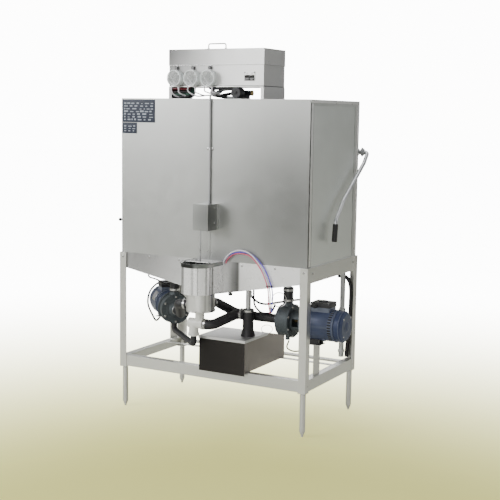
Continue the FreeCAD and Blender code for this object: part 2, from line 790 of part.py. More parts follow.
def make_casing(frame):
    """Volute casing with inlet stub, upright outlet stub and a windowed motor adapter."""
    start = d.inlet_length
    end = start + d.casing_length
    adapter = end + d.adapter_length
    wall = d.casing_wall
    middle = start + d.casing_length / 2
    round_part = fuse(
        rod("z", (0, 0), (0, start + 1), d.inlet_radius),
        cone("z", (0, 0), (start - 12, start), d.inlet_radius + 4, d.casing_radius * 0.55),
        rod("z", (0, 0), (start, end), d.casing_radius),
        rod("z", (0, 0), (end, adapter), d.adapter_radius),
        rod("y", (0, middle), (-d.outlet_height, 0), d.outlet_radius),
        rod("y", (0, middle), (d.casing_radius - 4, d.casing_radius + 22), d.casing_stub))
    hollow = fuse(
        rod("z", (0, 0), (-1, start + wall), d.inlet_bore),
        rod("z", (0, 0), (start + wall, end - wall), d.casing_radius - wall),
        rod("z", (0, 0), (end - wall - 1, adapter), d.motor_shaft + d.motor_fit),
        rod("z", (0, 0), (end + 5, adapter + 1), d.adapter_radius - 8),
        rod("y", (0, middle), (-d.outlet_height - 1, -20), d.outlet_radius - 4))
    windows = box((-d.adapter_radius, d.adapter_radius), (-20, 20), (end + 10, adapter - 10))
    casing = cut(round_part, hollow, windows)
    set_pump(casing, frame)
    return casing


def make_motor(frame):
    """Motor shell with a flange, a fan cowl and the bore its shaft runs in."""
    start = d.inlet_length + d.casing_length + d.adapter_length
    end = start + d.motor_length
    radius = d.motor_radius
    bore = d.motor_shaft + d.motor_fit
    body = new_body("motor")
    revolve(body, [
        (bore, start), (radius - 12, start), (radius - 4, start + 8), (radius - 4, start + 30),
        (radius, start + 34), (radius, end - 46), (radius - 3, end - 44), (radius - 3, end - 14),
        (radius - 16, end), (0, end), (0, start + d.motor_bore), (bore, start + d.motor_bore),
    ])
    set_pump(body, frame)
    return body


def make_terminal_box(frame):
    """Wiring box that sits on the motor, hollowed to the motor's curve."""
    start = d.inlet_length + d.casing_length + d.adapter_length + 58
    half = d.terminal_depth / 2
    top = -d.motor_radius - d.terminal_height
    shell = cut(box((-half, half), (top, -d.motor_radius + 20), (start, start + d.terminal_width)),
                rod("z", (0, 0), (start - 1, start + d.terminal_width + 1), d.motor_radius))
    set_pump(shell, frame)
    return shell


def make_impeller(frame, label):
    """Vaned disc on the end of the motor shaft."""
    wall = d.inlet_length + d.casing_wall
    disc = wall + 6 + d.vane_height
    tip = d.inlet_length + d.casing_length + d.adapter_length + d.motor_bore - 4
    pieces = [
        rod("z", (0, 0), (disc, disc + d.impeller_plate), d.impeller_radius),
        rod("z", (0, 0), (wall + 6, disc), d.motor_shaft + 6),
        rod("z", (0, 0), (disc, tip), d.motor_shaft),
    ]
    for step in range(6):
        vane = box((d.motor_shaft, d.impeller_radius - 2), (-d.vane_width / 2, d.vane_width / 2),
                   (wall + 6, disc + 1))
        spin = FreeCAD.Rotation(FreeCAD.Vector(0, 0, 1), 60 * step)
        turned = doc.addObject("Part::Compound", unique("vane"))
        turned.Links = [vane]
        turned.Placement = FreeCAD.Placement(FreeCAD.Vector(), spin)
        pieces.append(turned)
    impeller = fuse(*pieces)
    set_pump(impeller, frame)
    node(label, impeller)


def make_saddle(frame, distance):
    """Rubber saddle block between the motor and its support plate."""
    start = d.inlet_length + d.casing_length + d.adapter_length + distance
    half = d.support_width / 2 - 6
    drop = frame[0][2] - d.support_top - d.leg_plate
    block = cut(box((-half, half), (drop - d.saddle_height, drop), (start, start + d.saddle_length)),
                rod("z", (0, 0), (start - 1, start + d.saddle_length + 1), d.motor_radius))
    set_pump(block, frame)
    return block


def make_motor_supports():
    """Bracket on each side rail that carries a level plate under the motor."""
    right, left = pump_frames()
    top = d.support_top
    half = d.support_width / 2
    plate = d.leg_plate
    out = rail_x - d.strap_back
    y = (d.right_pump_y - half, d.right_pump_y + half)
    bracket = fuse(box((out - plate, out), y, (rail_top, top + plate)),
                   box((rail_x - d.rail_flange, out), y, (rail_top, rail_top + plate)),
                   box((out - 60, out + 30), y, (top, top + plate)))
    left_y = (d.left_strap_y - half, d.left_strap_y + half)
    left_bracket = fuse(box((-out, -out + plate), left_y, (rail_top, top + plate)),
                        box((-out, -rail_x + d.rail_flange), left_y,
                            (rail_top, rail_top + plate)),
                        box((-out, -out + d.left_plate_width),
                            (d.left_plate_front, left_y[1]), (top, top + plate)))
    node("motor_supports", bracket, make_saddle(right, d.right_saddle), left_bracket,
         make_saddle(left, d.left_saddle))


def make_pumps():
    right, left = pump_frames()
    node("pump_casings", make_casing(right), make_casing(left))
    node("pump_motors", make_motor(right), make_motor(left), make_terminal_box(right),
         make_terminal_box(left))
    make_impeller(right, "impeller_right")
    make_impeller(left, "impeller_left")


def make_hoses():
    """Two suction hoses from the pot to the pump inlets, two sleeves up to the manifolds."""
    right, left = pump_frames()
    outer = d.hose_radius
    inner = d.inlet_radius
    port = d.port_height
    pot_back = -d.pot_place + d.pot_radius
    half = SIZES["left_pump_turn"]
    lead = math.cos(math.radians(half))
    inlet = d.inlet_length - 13
    right_path = [
        (10, pot_back + 6, port), (10, pot_back + 64, port), (70, -150, 566),
        (200, -150, d.pump_height), (d.right_pump_x + inlet, -150, d.pump_height),
    ]
    left_height = d.pump_height - d.left_pump_drop
    left_path = [
        (-d.pot_radius - 6, -d.pot_place, port), (-d.pot_radius - 62, -d.pot_place, port),
        (d.left_pump_x + 90 * lead, d.left_pump_y - 90 * lead, left_height),
        (d.left_pump_x - inlet * lead, d.left_pump_y + inlet * lead, left_height),
    ]
    hoses = [bent_tube(right_path, 34, outer, inner), bent_tube(left_path, 34, outer, inner)]
    for frame in (right, left):
        x, y = beyond(frame, d.inlet_length + d.casing_length / 2)
        low = frame[0][2] + d.outlet_height - d.sleeve_overlap
        high = d.manifold_end + d.sleeve_overlap
        sleeve = cut(rod("z", (x, y), (low, high), outer + 2),
                     rod("z", (x, y), (low - 1, frame[0][2] + d.outlet_height + 2),
                         d.outlet_radius + d.slip),
                     rod("z", (x, y), (low, high + 1), d.pipe_radius + d.slip))
        hoses.append(sleeve)
    node("pump_hoses", *hoses)


# ---------------------------------------------------------------- wash manifolds and arms

def make_manifold(side, inlet):
    """Pipe from the pump sleeve to the lower hub, up the riser and over to the upper hub."""
    x = side * d.rack_centre
    lower = d.lower_run
    upper = d.upper_run
    feed = [(inlet[0], inlet[1], d.manifold_end), (inlet[0], inlet[1], lower), (x, 0, lower)]
    loop = [(x, 0, lower), (x, d.riser_back, lower), (x, d.riser_back, upper), (x, 0, upper)]
    inner = d.pipe_radius - d.pipe_wall
    spindle = d.spindle_radius
    hub = d.pipe_radius + 4
    pocket = inner + 2
    outside = fuse(
        bent_tube(feed, 24, d.pipe_radius, 0), bent_tube(loop, 24, d.pipe_radius, 0),
        rod("z", (x, 0), (lower - hub, d.lower_spray - 3), hub),
        rod("z", (x, 0), (d.lower_spray - 3, d.lower_spray + d.spray_height + 9), spindle),
        rod("z", (x, 0), (d.lower_spray + d.spray_height + 5, d.lower_spray + d.spray_height + 9),
            d.cap_radius),
        rod("z", (x, 0), (d.upper_spray + d.spray_height + 5, upper + hub), hub),
        rod("z", (x, 0), (d.upper_spray - 9, d.upper_spray + d.spray_height + 6), spindle),
        rod("z", (x, 0), (d.upper_spray - 9, d.upper_spray - 5), d.cap_radius))
    inside = fuse(
        bent_tube(feed, 24, inner, 0), bent_tube(loop, 24, inner, 0),
        rod("z", (x, 0), (lower - pocket, lower + pocket), pocket),
        rod("z", (x, 0), (upper - pocket, upper + pocket), pocket),
        rod("z", (x, 0), (lower, d.lower_spray + d.spray_height), spindle - 4),
        rod("z", (x, 0), (d.upper_spray, upper), spindle - 4))
    return cut(outside, inside)


def make_manifolds():
    right_inlet, left_inlet = manifold_inlets()
    node("wash_manifolds", make_manifold(1, right_inlet), make_manifold(-1, left_inlet))


def make_spray_arm(label, x, z, face):
    """Two-bladed spray arm turning on its hub; its jets face the rack."""
    half = d.spray_width / 2
    reach = d.arm_reach
    outline = [
        (x - reach, -half * 0.6), (x - 40, -half), (x + 40, -half), (x + reach, -half * 0.6),
        (x + reach, half * 0.6), (x + 40, half), (x - 40, half), (x - reach, half * 0.6),
    ]
    blade = plate_xy([outline], (z, z + d.spray_height))
    hub = rod("z", (x, 0), (z - 1, z + d.spray_height + 1), d.spray_hub)
    bore = rod("z", (x, 0), (z - 2, z + d.spray_height + 2), d.spindle_radius + d.spindle_fit)
    jet_from = z + d.spray_height - 4 if face > 0 else z - 1
    jets = []
    for step in range(1, 6):
        for way in (-1, 1):
            jets.append(rod("z", (x + way * 38 * step, 0), (jet_from, jet_from + 5),
                            d.nozzle_radius))
    node(label, cut(fuse(blade, hub), bore, *jets))


def make_spray_arms():
    for side, word in ((1, "right"), (-1, "left")):
        x = side * d.rack_centre
        make_spray_arm("spray_arm_lower_" + word, x, d.lower_spray, 1)
        make_spray_arm("spray_arm_upper_" + word, x, d.upper_spray, -1)


# ---------------------------------------------------------------- scrap trap, pot and drain

def obround(radius, z, back):
    centre = -d.trap_place
    return fuse(rod("z", (0, centre), z, radius), box((-radius, radius), (centre, back), z))


def make_trap():
    wall = d.trap_wall
    top = d.trap_top
    outer = obround(d.trap_radius, (d.trap_bottom, top), -hood_y)
    lip = obround(d.trap_radius + d.trap_lip, (top - 3, top), -hood_y)
    inner = obround(d.trap_radius - wall, (d.trap_bottom + wall, top + 1), -hood_y + 1)
    hole = rod("z", (0, -d.pot_place), (d.trap_bottom - 1, top), d.pot_hole)
    node("scrap_accumulator", cut(fuse(outer, lip), inner, hole))


def basket_block(radius, back, z):
    centre = -d.trap_place
    keep = box((-radius, radius), (centre - radius, back), z)
    return common(rod("z", (0, centre), z, radius), keep)


def make_basket():
    """Lift-out strainer basket with slotted walls and a wire bail."""
    wall = d.basket_wall
    radius = d.basket_radius
    low = d.basket_bottom
    top = d.basket_top
    outer = basket_block(radius, -d.basket_back, (low, top))
    inner = basket_block(radius - wall, -d.basket_back - wall, (low + wall, top + 1))
    slots = []
    for row in range(2):
        for step in range(-4, 5):
            turned = doc.addObject("Part::Compound", unique("slot"))
            base = low + 10 + row * (d.slot_height + 8)
            turned.Links = [box((-d.slot_width / 2, d.slot_width / 2), (-radius - 2, -radius + 8),
                                (base, base + d.slot_height))]
            spin = FreeCAD.Rotation(FreeCAD.Vector(0, 0, 1), 18 * step)
            turned.Placement = FreeCAD.Placement(
                FreeCAD.Vector(0, -SIZES["trap_place"], 0), spin)
            slots.append(turned)
    bail = bent_tube([
        (-radius + 14, -d.trap_place, top - 14), (-radius + 14, -d.trap_place, top + 5),
        (radius - 14, -d.trap_place, top + 5), (radius - 14, -d.trap_place, top - 14),
    ], 6, 2.5, 0)
    bracket_left = box((-radius + 1, -radius + 18), (-d.trap_place - 4, -d.trap_place + 4),
                       (top - 18, top - 12))
    bracket_right = box((radius - 18, radius - 1), (-d.trap_place - 4, -d.trap_place + 4),
                        (top - 18, top - 12))
    node("scrap_basket", fuse(cut(outer, inner, *slots), bail, bracket_left, bracket_right))


def make_pot():
    wall = d.trap_wall
    centre = -d.pot_place
    port = d.port_height
    stub = d.inlet_radius
    bore = d.inlet_radius - 3
    back = (centre + d.pot_radius - 6, centre + d.pot_radius + d.port_length)
    left = (-d.pot_radius - d.port_length, -d.pot_radius + 6)
    outer = fuse(rod("z", (0, centre), (d.pot_bottom, d.trap_bottom), d.pot_radius),
                 rod("y", (10, port), back, stub),
                 rod("x", (centre, port), left, stub))
    inner = fuse(rod("z", (0, centre), (d.pot_bottom + wall, d.trap_bottom + 1),
                     d.pot_radius - wall),
                 rod("y", (10, port), (back[0] - 6, back[1] + 1), bore),
                 rod("x", (centre, port), (left[0] - 1, left[1] + 6), bore),
                 rod("z", (d.rod_side, -d.rod_place), (d.pot_bottom - 1, d.pot_bottom + 3),
                     d.seat_radius))
    node("sump_pot", cut(outer, inner))


def make_drain_plug():
    """Plug, pull rod and solenoid plunger, three pieces joined end to end."""
    seat = d.pot_bottom + d.trap_wall
    plug = new_body("plug")
    top = seat + d.plug_height
    revolve(plug, [
        (0, seat), (d.plug_radius, seat), (d.plug_radius, seat + 5), (d.rod_radius, top), (0, top),
    ])
    place(plug, d.rod_side, -d.rod_place, 0)
    line = (d.rod_side, -d.rod_place)
    node("drain_plug", plug, rod("z", line, (top, d.plunger_bottom), d.rod_radius),
         rod("z", line, (d.plunger_bottom, d.plunger_top), d.plunger_radius))


def make_solenoid():
    """Coil and yoke that lift the plunger."""
    coil = new_body("coil")
    bore = d.plunger_radius + 0.06
    revolve(coil, [
        (bore, d.coil_bottom), (d.coil_radius - 4, d.coil_bottom),
        (d.coil_radius - 4, d.coil_bottom + 4), (d.coil_radius, d.coil_bottom + 4),
        (d.coil_radius, d.coil_top - 6), (d.coil_radius - 6, d.coil_top), (0, d.coil_top),
        (0, d.coil_top - 8), (bore, d.coil_top - 8),
    ])
    place(coil, d.rod_side, -d.rod_place, 0)
    yoke = box((d.rod_side - 20, d.rod_side + 20), (-d.rod_place + 20, -hood_y),
               (d.coil_bottom + 10, d.coil_top - 14))
    node("drain_solenoid", fuse(coil, cut(yoke, rod("z", (d.rod_side, -d.rod_place),
                                                    (d.coil_bottom, d.coil_top),
                                                    d.coil_radius - 2))))


def make_solenoid_box():
    wall = d.sheet
    x = (-d.cover_left, d.cover_right)
    z = (d.cover_bottom, d.cover_top)
    shell = cut(
        box(x, (-d.cover_front, -hood_y), z),
        box((x[0] + wall, x[1] - wall), (-d.cover_front + wall, -hood_y + 1),
            (z[0] + wall, z[1] - wall)),
        rod("z", (d.rod_side, -d.rod_place), (z[0] - 1, z[0] + wall + 1), d.rod_radius + 2),
        rod("z", (d.conduit_side, -d.conduit_front), (z[1] - wall - 1, z[1] + 1),
            d.conduit_radius + 0.2))
    node("solenoid_box", shell)


def make_conduit():
    x = d.conduit_side
    front = -d.conduit_front
    points = [
        (26, -245, d.control_bottom), (26, -245, 1722), (x, front, 1706),
        (x, front, d.cover_top - 12),
    ]
    node("front_conduit", bent_tube(points, 12, d.conduit_radius, d.conduit_radius - 1.5))


def make_fitting():
    """White fitting under the pot: seat neck, level run, down leg and two hose spigots."""
    height = d.fitting_height
    seat = (d.rod_side, -d.rod_place)
    level = (-d.rod_place, height)
    leg = (-d.fitting_left, -d.rod_place)
    right = d.fitting_right
    low = d.fitting_leg
    end = -d.fitting_left - d.fitting_radius
    outer = fuse(
        rod("x", level, (end, right), d.fitting_radius),
        rod("z", leg, (low, height), d.fitting_radius - 1),
        rod("z", seat, (height, d.pot_bottom), d.fitting_radius - 2),
        rod("z", seat, (d.pot_bottom - 12, d.pot_bottom), d.fitting_radius + 4),
        rod("x", level, (right - 14, right), d.fitting_radius + 3),
        rod("z", leg, (low, low + 14), d.fitting_radius + 3),
        rod("x", level, (right, right + d.spigot_length), d.spigot_radius),
        rod("z", leg, (low - d.spigot_length, low), d.casing_stub))
    inner = fuse(
        rod("x", level, (end + 6, right - 6), d.fitting_bore),
        rod("z", leg, (low + 6, height), d.fitting_bore - 1),
        rod("z", seat, (height, d.pot_bottom + 1), d.fitting_bore - 2),
        rod("x", level, (right - 8, right + d.spigot_length + 1), d.spigot_radius - 3),
        rod("z", leg, (low - d.spigot_length - 1, low + 8), d.casing_stub - 3))
    node("drain_fitting", cut(outer, inner))


def make_drain_hoses():
    """Wide hose from the fitting to the boot, thin one from its leg to the left casing."""
    y = -d.rod_place
    to_boot = [
        (d.fitting_right + 4, y, d.fitting_height), (64, y, d.fitting_height),
        (112, d.boot_y, d.boot_port), (d.boot_x - 20, d.boot_y, d.boot_port),
    ]
    left = pump_frames()[1]
    x, back = beyond(left, d.inlet_length + d.casing_length / 2)
    casing_low = left[0][2] - d.casing_radius
    low = 424
    to_casing = [
        (-d.fitting_left, y, d.fitting_leg - 4), (-d.fitting_left, y, low), (x, back, low),
        (x, back, casing_low - 2),
    ]
    node("drain_hoses", bent_tube(to_boot, 36, d.drain_radius, d.spigot_radius),
         bent_tube(to_casing, 20, d.casing_hose, d.casing_stub + d.slip))


def make_boot():
    """Rubber boot on the drain box lid; takes the drain hose and the overflow pipe."""
    centre = (d.boot_x, d.boot_y)
    foot = lid_top()
    outer = fuse(cone("z", centre, (foot, foot + 34), d.boot_base, d.boot_radius + 1),
                 rod("z", centre, (foot + 34, d.boot_top), d.boot_radius))
    port = rod("x", (d.boot_y, d.boot_port), (d.boot_x - d.boot_radius - 2, d.boot_x),
               d.drain_radius + 0.1)
    inner = fuse(rod("z", centre, (foot - 1, d.boot_top - 8), d.boot_radius - 7),
                 rod("z", centre, (d.boot_top - 10, d.boot_top + 1), d.overflow_radius))
    body = cut(outer, inner)
    clear = box((d.boot_x - d.boot_radius - 3, d.boot_x - 20),
                (d.boot_y - d.drain_radius - 0.1, d.boot_y + d.drain_radius + 0.1),
                (d.boot_port - d.drain_radius - 0.1, d.boot_port + d.drain_radius + 0.1))
    node("drain_boot", cut(body, common(port, clear)))


def make_overflow():
    centre = (d.boot_x, d.boot_y)
    z = (d.boot_top - 8, d.overflow_top)
    node("overflow_pipe", cut(rod("z", centre, z, d.overflow_radius),
                              rod("z", centre, (z[0] - 1, z[1] + 1),
                                  d.overflow_radius - d.overflow_wall)))


def lid_top():
    return d.box_top + d.box_sheet


def make_drain_box():
    """Folded catch box: level top under the lid, sloping top behind it, outlet at the back."""
    wall = d.box_sheet
    front = -d.box_front
    outer = [
        (front, d.box_bottom), (front, d.box_top), (-d.box_lid_back, d.box_top),
        (d.box_back, d.box_low), (d.box_back, d.box_bottom),
    ]
    inner = [
        (front + wall, d.box_bottom + wall), (front + wall, d.box_top - wall),
        (-d.box_lid_back, d.box_top - wall), (d.box_back - wall, d.box_low - wall),
        (d.box_back - wall, d.box_bottom + wall),
    ]
    shell = cut(plate_yz([outer], (d.box_left, d.box_right)),
                plate_yz([inner], (d.box_left + wall, d.box_right - wall)),
                box((d.box_left + wall, d.box_right - wall), (front + wall, -d.box_lid_back - 4),
                    (d.box_top - 4, d.box_top + 1)))
    skirt = box((d.box_left, d.box_right), (front, front + wall),
                (d.box_bottom - d.box_skirt, d.box_bottom))
    outlet = (d.outlet_side, d.outlet_level)
    pipe = rod("y", outlet, (d.box_back - wall, d.box_back + d.outlet_reach), d.outlet_pipe)
    bore = rod("y", outlet, (d.box_back - wall - 1, d.box_back + d.outlet_reach + 1),
               d.outlet_bore)
    node("drain_box", cut(fuse(shell, skirt, pipe), bore))


def make_lid():
    over = d.lid_overhang
    top = lid_top()
    x = (d.box_left - over, d.box_right + over)
    front = -d.box_front - over
    low = d.box_top - d.lid_drop
    gap = over - 0.5
    cap = cut(box(x, (front, -d.box_lid_back), (low, top)),
              box((d.box_left - gap, d.box_right + gap),
                  (-d.box_front - gap, -d.box_lid_back + 1), (low - 1, d.box_top)),
              rod("z", (d.boot_x, d.boot_y), (low, top + 1), d.boot_radius - 7))
    node("drain_box_lid", cap)


# ---------------------------------------------------------------- control box

control_x = d.control_width / 2
panel_x = control_x - d.sheet - d.control_gap
panel_front = -d.control_front + d.sheet + d.control_gap
panel_back = -d.control_back - d.sheet - d.control_gap


def head_places():
    return [(word, d.head_first + d.head_pitch * step)
            for step, word in enumerate(("left", "centre", "right"))]


def rocker_places():
    return [(word, d.switch_x + side * d.rocker_pitch / 2)
            for side, word in ((-1, "left"), (1, "right"))]


def make_control_box():
    wall = d.sheet
    shell = cut(box((-panel_x, panel_x), (panel_front, panel_back),
                    (d.control_bottom, d.control_wall)),
                box((-panel_x + wall, panel_x - wall), (panel_front + wall, panel_back - wall),
                    (d.control_bottom + wall, d.control_wall + 1)))
    half_w = d.switch_width / 2
    half_t = d.switch_tall / 2
    plate = box((d.switch_x - half_w, d.switch_x + half_w), (panel_front - 2, panel_front),
                (d.switch_height - half_t, d.switch_height + half_t))
    through = (panel_front - 3, panel_front + wall + 1)
    tools = []
    for _, x in head_places():
        tools.append(rod("y", (x, d.head_height), through, d.rotor_shaft + 0.1))
        tools.append(rod("y", (x, d.button_height), through, d.button_stem + 0.1))
    for _, x in rocker_places():
        tools.append(box((x - d.rocker_width / 2 - 1, x + d.rocker_width / 2 + 1), through,
                         (d.rocker_height - d.rocker_tall / 2 - 2,
                          d.rocker_height + d.rocker_tall / 2 + 2)))
    node("control_box", cut(fuse(shell, plate), *tools))


def make_control_cover():
    wall = d.sheet
    cover = cut(box((-control_x, control_x), (-d.control_front, -d.control_back),
                    (d.control_lip, d.control_top)),
                box((-control_x + wall, control_x - wall),
                    (-d.control_front + wall, -d.control_back - wall),
                    (d.control_lip - 1, d.control_top - wall)))
    node("control_cover", cover)
    half = d.handle_span / 2
    y = -d.handle_place
    top = d.control_top + d.handle_height
    points = [(-half, y, d.control_top), (-half, y, top), (half, y, top),
              (half, y, d.control_top)]
    node("cover_handle", bent_tube(points, 9, d.handle_wire, 0))


def make_stands():
    out = control_x
    inner = control_x - d.stand_width
    low = d.hood_top
    top = d.control_bottom
    y = (-d.control_front, -d.control_back)
    channel = plate_xz([[
        (inner, low), (out, low), (out, top), (inner, top), (inner, top - 2),
        (out - 2, top - 2), (out - 2, low + 2), (inner, low + 2),
    ]], y)
    end = box((inner, out - 2), (y[0], y[0] + d.sheet), (low + 2, top - 2))
    node("box_stands", *both_sides(fuse(channel, end)))


def make_dispensers():
    """Three small hose pumps on the front: cup, clear cover and roller spider."""
    cups = []
    covers = []
    mouth = panel_front - d.head_depth
    for word, x in head_places():
        centre = (x, d.head_height)
        cups.append(cut(
            rod("y", centre, (mouth, panel_front), d.head_radius),
            rod("y", centre, (mouth - 1, panel_front - d.head_wall), d.head_radius - d.head_wall),
            rod("y", centre, (mouth, panel_front + 1), d.rotor_shaft + 0.1)))
        covers.append(rod("y", centre, (mouth - d.head_glass, mouth), d.head_radius))
        inside = (mouth + 3, panel_front - d.head_wall - 2)
        pieces = [
            rod("y", centre, inside, d.rotor_hub),
            rod("y", centre, (mouth + 3, panel_front + 12), d.rotor_shaft),
        ]
        for step in range(3):
            angle = math.radians(90 + 120 * step)
            across = (x + d.rotor_reach * math.cos(angle),
                      d.head_height + d.rotor_reach * math.sin(angle))
            pieces.append(rod("y", across, inside, d.rotor_roller))
        web = rod("y", centre, (inside[0] + 6, inside[0] + 10), d.rotor_reach)
        node("dispenser_rotor_" + word, fuse(web, *pieces))
    node("dispenser_cups", *cups)
    node("dispenser_covers", *covers)


def make_buttons():
    for word, x in head_places():
        centre = (x, d.button_height)
        back = panel_front - d.button_gap
        front = back - d.button_cap
        button = new_body("button")
        revolve(button, [
            (0, 0), (d.button_stem, 0), (d.button_stem, 16), (d.button_radius, 16),
            (d.button_radius, 14.5 + d.button_cap), (d.button_radius - 1.5, 16 + d.button_cap),
            (0, 16 + d.button_cap),
        ])
        button.Placement = FreeCAD.Placement(
            FreeCAD.Vector(), FreeCAD.Rotation(FreeCAD.Vector(1, 0, 0), 90))
        place(button, centre[0], front + 16 + d.button_cap, centre[1])
        node("prime_button_" + word, button)


def make_rockers():
    """Rocker with two sloping faces, tipping on a level pin in the panel opening."""
    half = d.rocker_tall / 2
    front = panel_front - 6
    back = front + d.rocker_depth
    for word, x in rocker_places():
        rocker = plate_yz([[
            (back, d.rocker_height - half + 2), (back, d.rocker_height + half - 2),
            (front + 2, d.rocker_height + half), (front, d.rocker_height + half - 1),
            (front + 2, d.rocker_height), (front, d.rocker_height - half + 1),
            (front + 2, d.rocker_height - half),
        ]], (x - d.rocker_width / 2, x + d.rocker_width / 2))
        reach = d.rocker_width / 2 + 0.8
        pin = rod("x", (d.pivot_y, d.rocker_height), (x - reach, x + reach), d.pivot_radius)
        node("rocker_" + word, fuse(rocker, pin))


def make_fill_valve():
    """Water inlet valve: round coil facing forward, cross body and inlet stub to the rear."""
    height = d.valve_height
    coil = rod("y", (d.valve_x, height), (-d.valve_front, -d.valve_front + d.valve_depth),
               d.valve_radius)
    stem = rod("y", (d.valve_x, height), (-d.valve_front + d.valve_depth, -190), 10)
    cross = rod("x", (-176, height), (d.valve_x - 40, d.valve_x + 40), d.valve_body)
    inlet = rod("y", (d.valve_x, height), (-170, -d.inlet_end), d.valve_body)
    block = box((d.valve_x - 18, d.valve_x + 18), (-194, -158), (d.hood_top, height + 14))
    node("fill_valve", fuse(coil, stem, cross, block, inlet))


# ---------------------------------------------------------------- build and write

def check_and_write():
    doc.recompute()
    for item in doc.Objects:
        for word in ("Invalid", "Error"):
            if word in item.State:
                raise RuntimeError("%s %s is %s" % (item.Name, item.Label, item.State))
    os.makedirs("parts", exist_ok=True)
    for item in nodes:
        shape = item.Shape
        if shape.isNull() or not shape.isValid() or not shape.Solids:
            raise RuntimeError("bad shape in " + item.Label)
        shape.exportStep("parts/%s.step" % item.Label)
        print("%-26s %2d solids %12.1f mm3" % (item.Label, len(shape.Solids), shape.Volume))
    print(len(nodes), "nodes")


make_legs()
make_rails()
make_aprons()
make_bolts()
make_feet()
make_front_panels()
make_back_panel()
make_top_panel()
make_side_frames()
make_doors()
make_shaft()
make_lift_arms()
make_bearings()
make_springs()
make_lever()
make_grip()
make_tank()
make_screens()
make_rack_rails()
make_pumps()
make_motor_supports()
make_hoses()
make_manifolds()
make_spray_arms()
make_trap()
make_basket()
make_pot()
make_drain_plug()
make_solenoid()
make_solenoid_box()
make_conduit()
make_fitting()
make_drain_hoses()
make_boot()
make_overflow()
make_drain_box()
make_lid()
make_control_box()
make_control_cover()
make_stands()
make_dispensers()
make_buttons()
make_rockers()
make_fill_valve()
check_and_write()
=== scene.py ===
import json
import math
import random

import bmesh
import bpy
from mathutils import Matrix, Vector


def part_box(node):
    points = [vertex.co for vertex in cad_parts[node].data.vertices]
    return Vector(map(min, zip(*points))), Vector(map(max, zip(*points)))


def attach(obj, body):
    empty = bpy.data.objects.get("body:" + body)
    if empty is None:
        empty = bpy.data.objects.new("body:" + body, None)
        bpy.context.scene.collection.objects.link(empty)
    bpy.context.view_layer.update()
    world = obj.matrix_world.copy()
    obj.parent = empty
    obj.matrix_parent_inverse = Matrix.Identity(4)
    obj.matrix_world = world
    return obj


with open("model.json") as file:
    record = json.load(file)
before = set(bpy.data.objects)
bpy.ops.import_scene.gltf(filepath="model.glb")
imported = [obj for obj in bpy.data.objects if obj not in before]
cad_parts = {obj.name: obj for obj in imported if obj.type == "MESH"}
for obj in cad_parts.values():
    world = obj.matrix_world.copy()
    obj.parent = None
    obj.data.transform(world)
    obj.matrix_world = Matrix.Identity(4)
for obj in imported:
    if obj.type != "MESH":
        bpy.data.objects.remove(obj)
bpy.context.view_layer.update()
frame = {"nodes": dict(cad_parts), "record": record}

MM = 0.001
FRONT, BACK, LEFT, RIGHT, UP, DOWN = (
    Vector((0, -1, 0)), Vector((0, 1, 0)), Vector((-1, 0, 0)),
    Vector((1, 0, 0)), Vector((0, 0, 1)), Vector((0, 0, -1)))


def mm(*values):
    """A point given in millimetres, as metres."""
    return Vector([value * MM for value in values])


# ---------------------------------------------------------------- materials

class Nodes:
    """Short hand for wiring one material."""

    def __init__(self, name):
        self.mat = bpy.data.materials.new(name)
        self.mat.use_nodes = True
        self.tree = self.mat.node_tree
        self.tree.nodes.clear()
        self.out = self.add("ShaderNodeOutputMaterial")
        self.bsdf = self.add("ShaderNodeBsdfPrincipled")
        self.link(self.bsdf, "BSDF", self.out, "Surface")

    def add(self, kind, **settings):
        node = self.tree.nodes.new(kind)
        for key, value in settings.items():
            if hasattr(node, key):
                setattr(node, key, value)
            else:
                node.inputs[key].default_value = value
        return node

    def link(self, source, output, target, slot):
        self.tree.links.new(source.outputs[output], target.inputs[slot])

    def set(self, **values):
        for key, value in values.items():
            self.bsdf.inputs[key.replace("_", " ")].default_value = value

    def coords(self, stretch=(1, 1, 1)):
        source = self.add("ShaderNodeTexCoord")
        mapping = self.add("ShaderNodeMapping")
        mapping.inputs["Scale"].default_value = stretch
        self.link(source, "Object", mapping, "Vector")
        return mapping

    def noise(self, scale, detail=4, rough=0.55, stretch=(1, 1, 1)):
        texture = self.add("ShaderNodeTexNoise")
        texture.inputs["Scale"].default_value = scale
        texture.inputs["Detail"].default_value = detail
        texture.inputs["Roughness"].default_value = rough
        self.link(self.coords(stretch), "Vector", texture, "Vector")
        return texture

    def ramp(self, source, output, stops):
        ramp = self.add("ShaderNodeValToRGB")
        band = ramp.color_ramp
        while len(band.elements) < len(stops):
            band.elements.new(0.5)
        for element, (place, colour) in zip(band.elements, stops):
            element.position = place
            element.color = rgba(colour)
        self.link(source, output, ramp, "Fac")
        return ramp

    def mix(self, factor, first, second, blend="MIX"):
        """Colour mix; each of first and second is a colour or a (node, output) pair."""
        node = self.add("ShaderNodeMix", data_type="RGBA", blend_type=blend)
        self.feed(node, 0, factor)
        self.feed(node, 6, first)
        self.feed(node, 7, second)
        return node

    def feed(self, node, index, value):
        if isinstance(value, tuple) and hasattr(value[0], "outputs"):
            self.tree.links.new(value[0].outputs[value[1]], node.inputs[index])
        elif isinstance(value, (int, float)):
            node.inputs[index].default_value = value
        else:
            node.inputs[index].default_value = rgba(value)

    def span(self, source, output, low, high):
        node = self.add("ShaderNodeMapRange")
        node.inputs["To Min"].default_value = low
        node.inputs["To Max"].default_value = high
        self.link(source, output, node, "Value")
        return node

    def edges(self, width):
        """Normal that rounds sharp edges by width, for the light on folded and cut edges."""
        bevel = self.add("ShaderNodeBevel", samples=4)
        bevel.inputs["Radius"].default_value = width
        return bevel

    def bump(self, source, output, strength, distance, normal=None):
        node = self.add("ShaderNodeBump")
        node.inputs["Strength"].default_value = strength
        node.inputs["Distance"].default_value = distance
        self.link(source, output, node, "Height")
        if normal:
            self.link(normal, "Normal", node, "Normal")
        return node


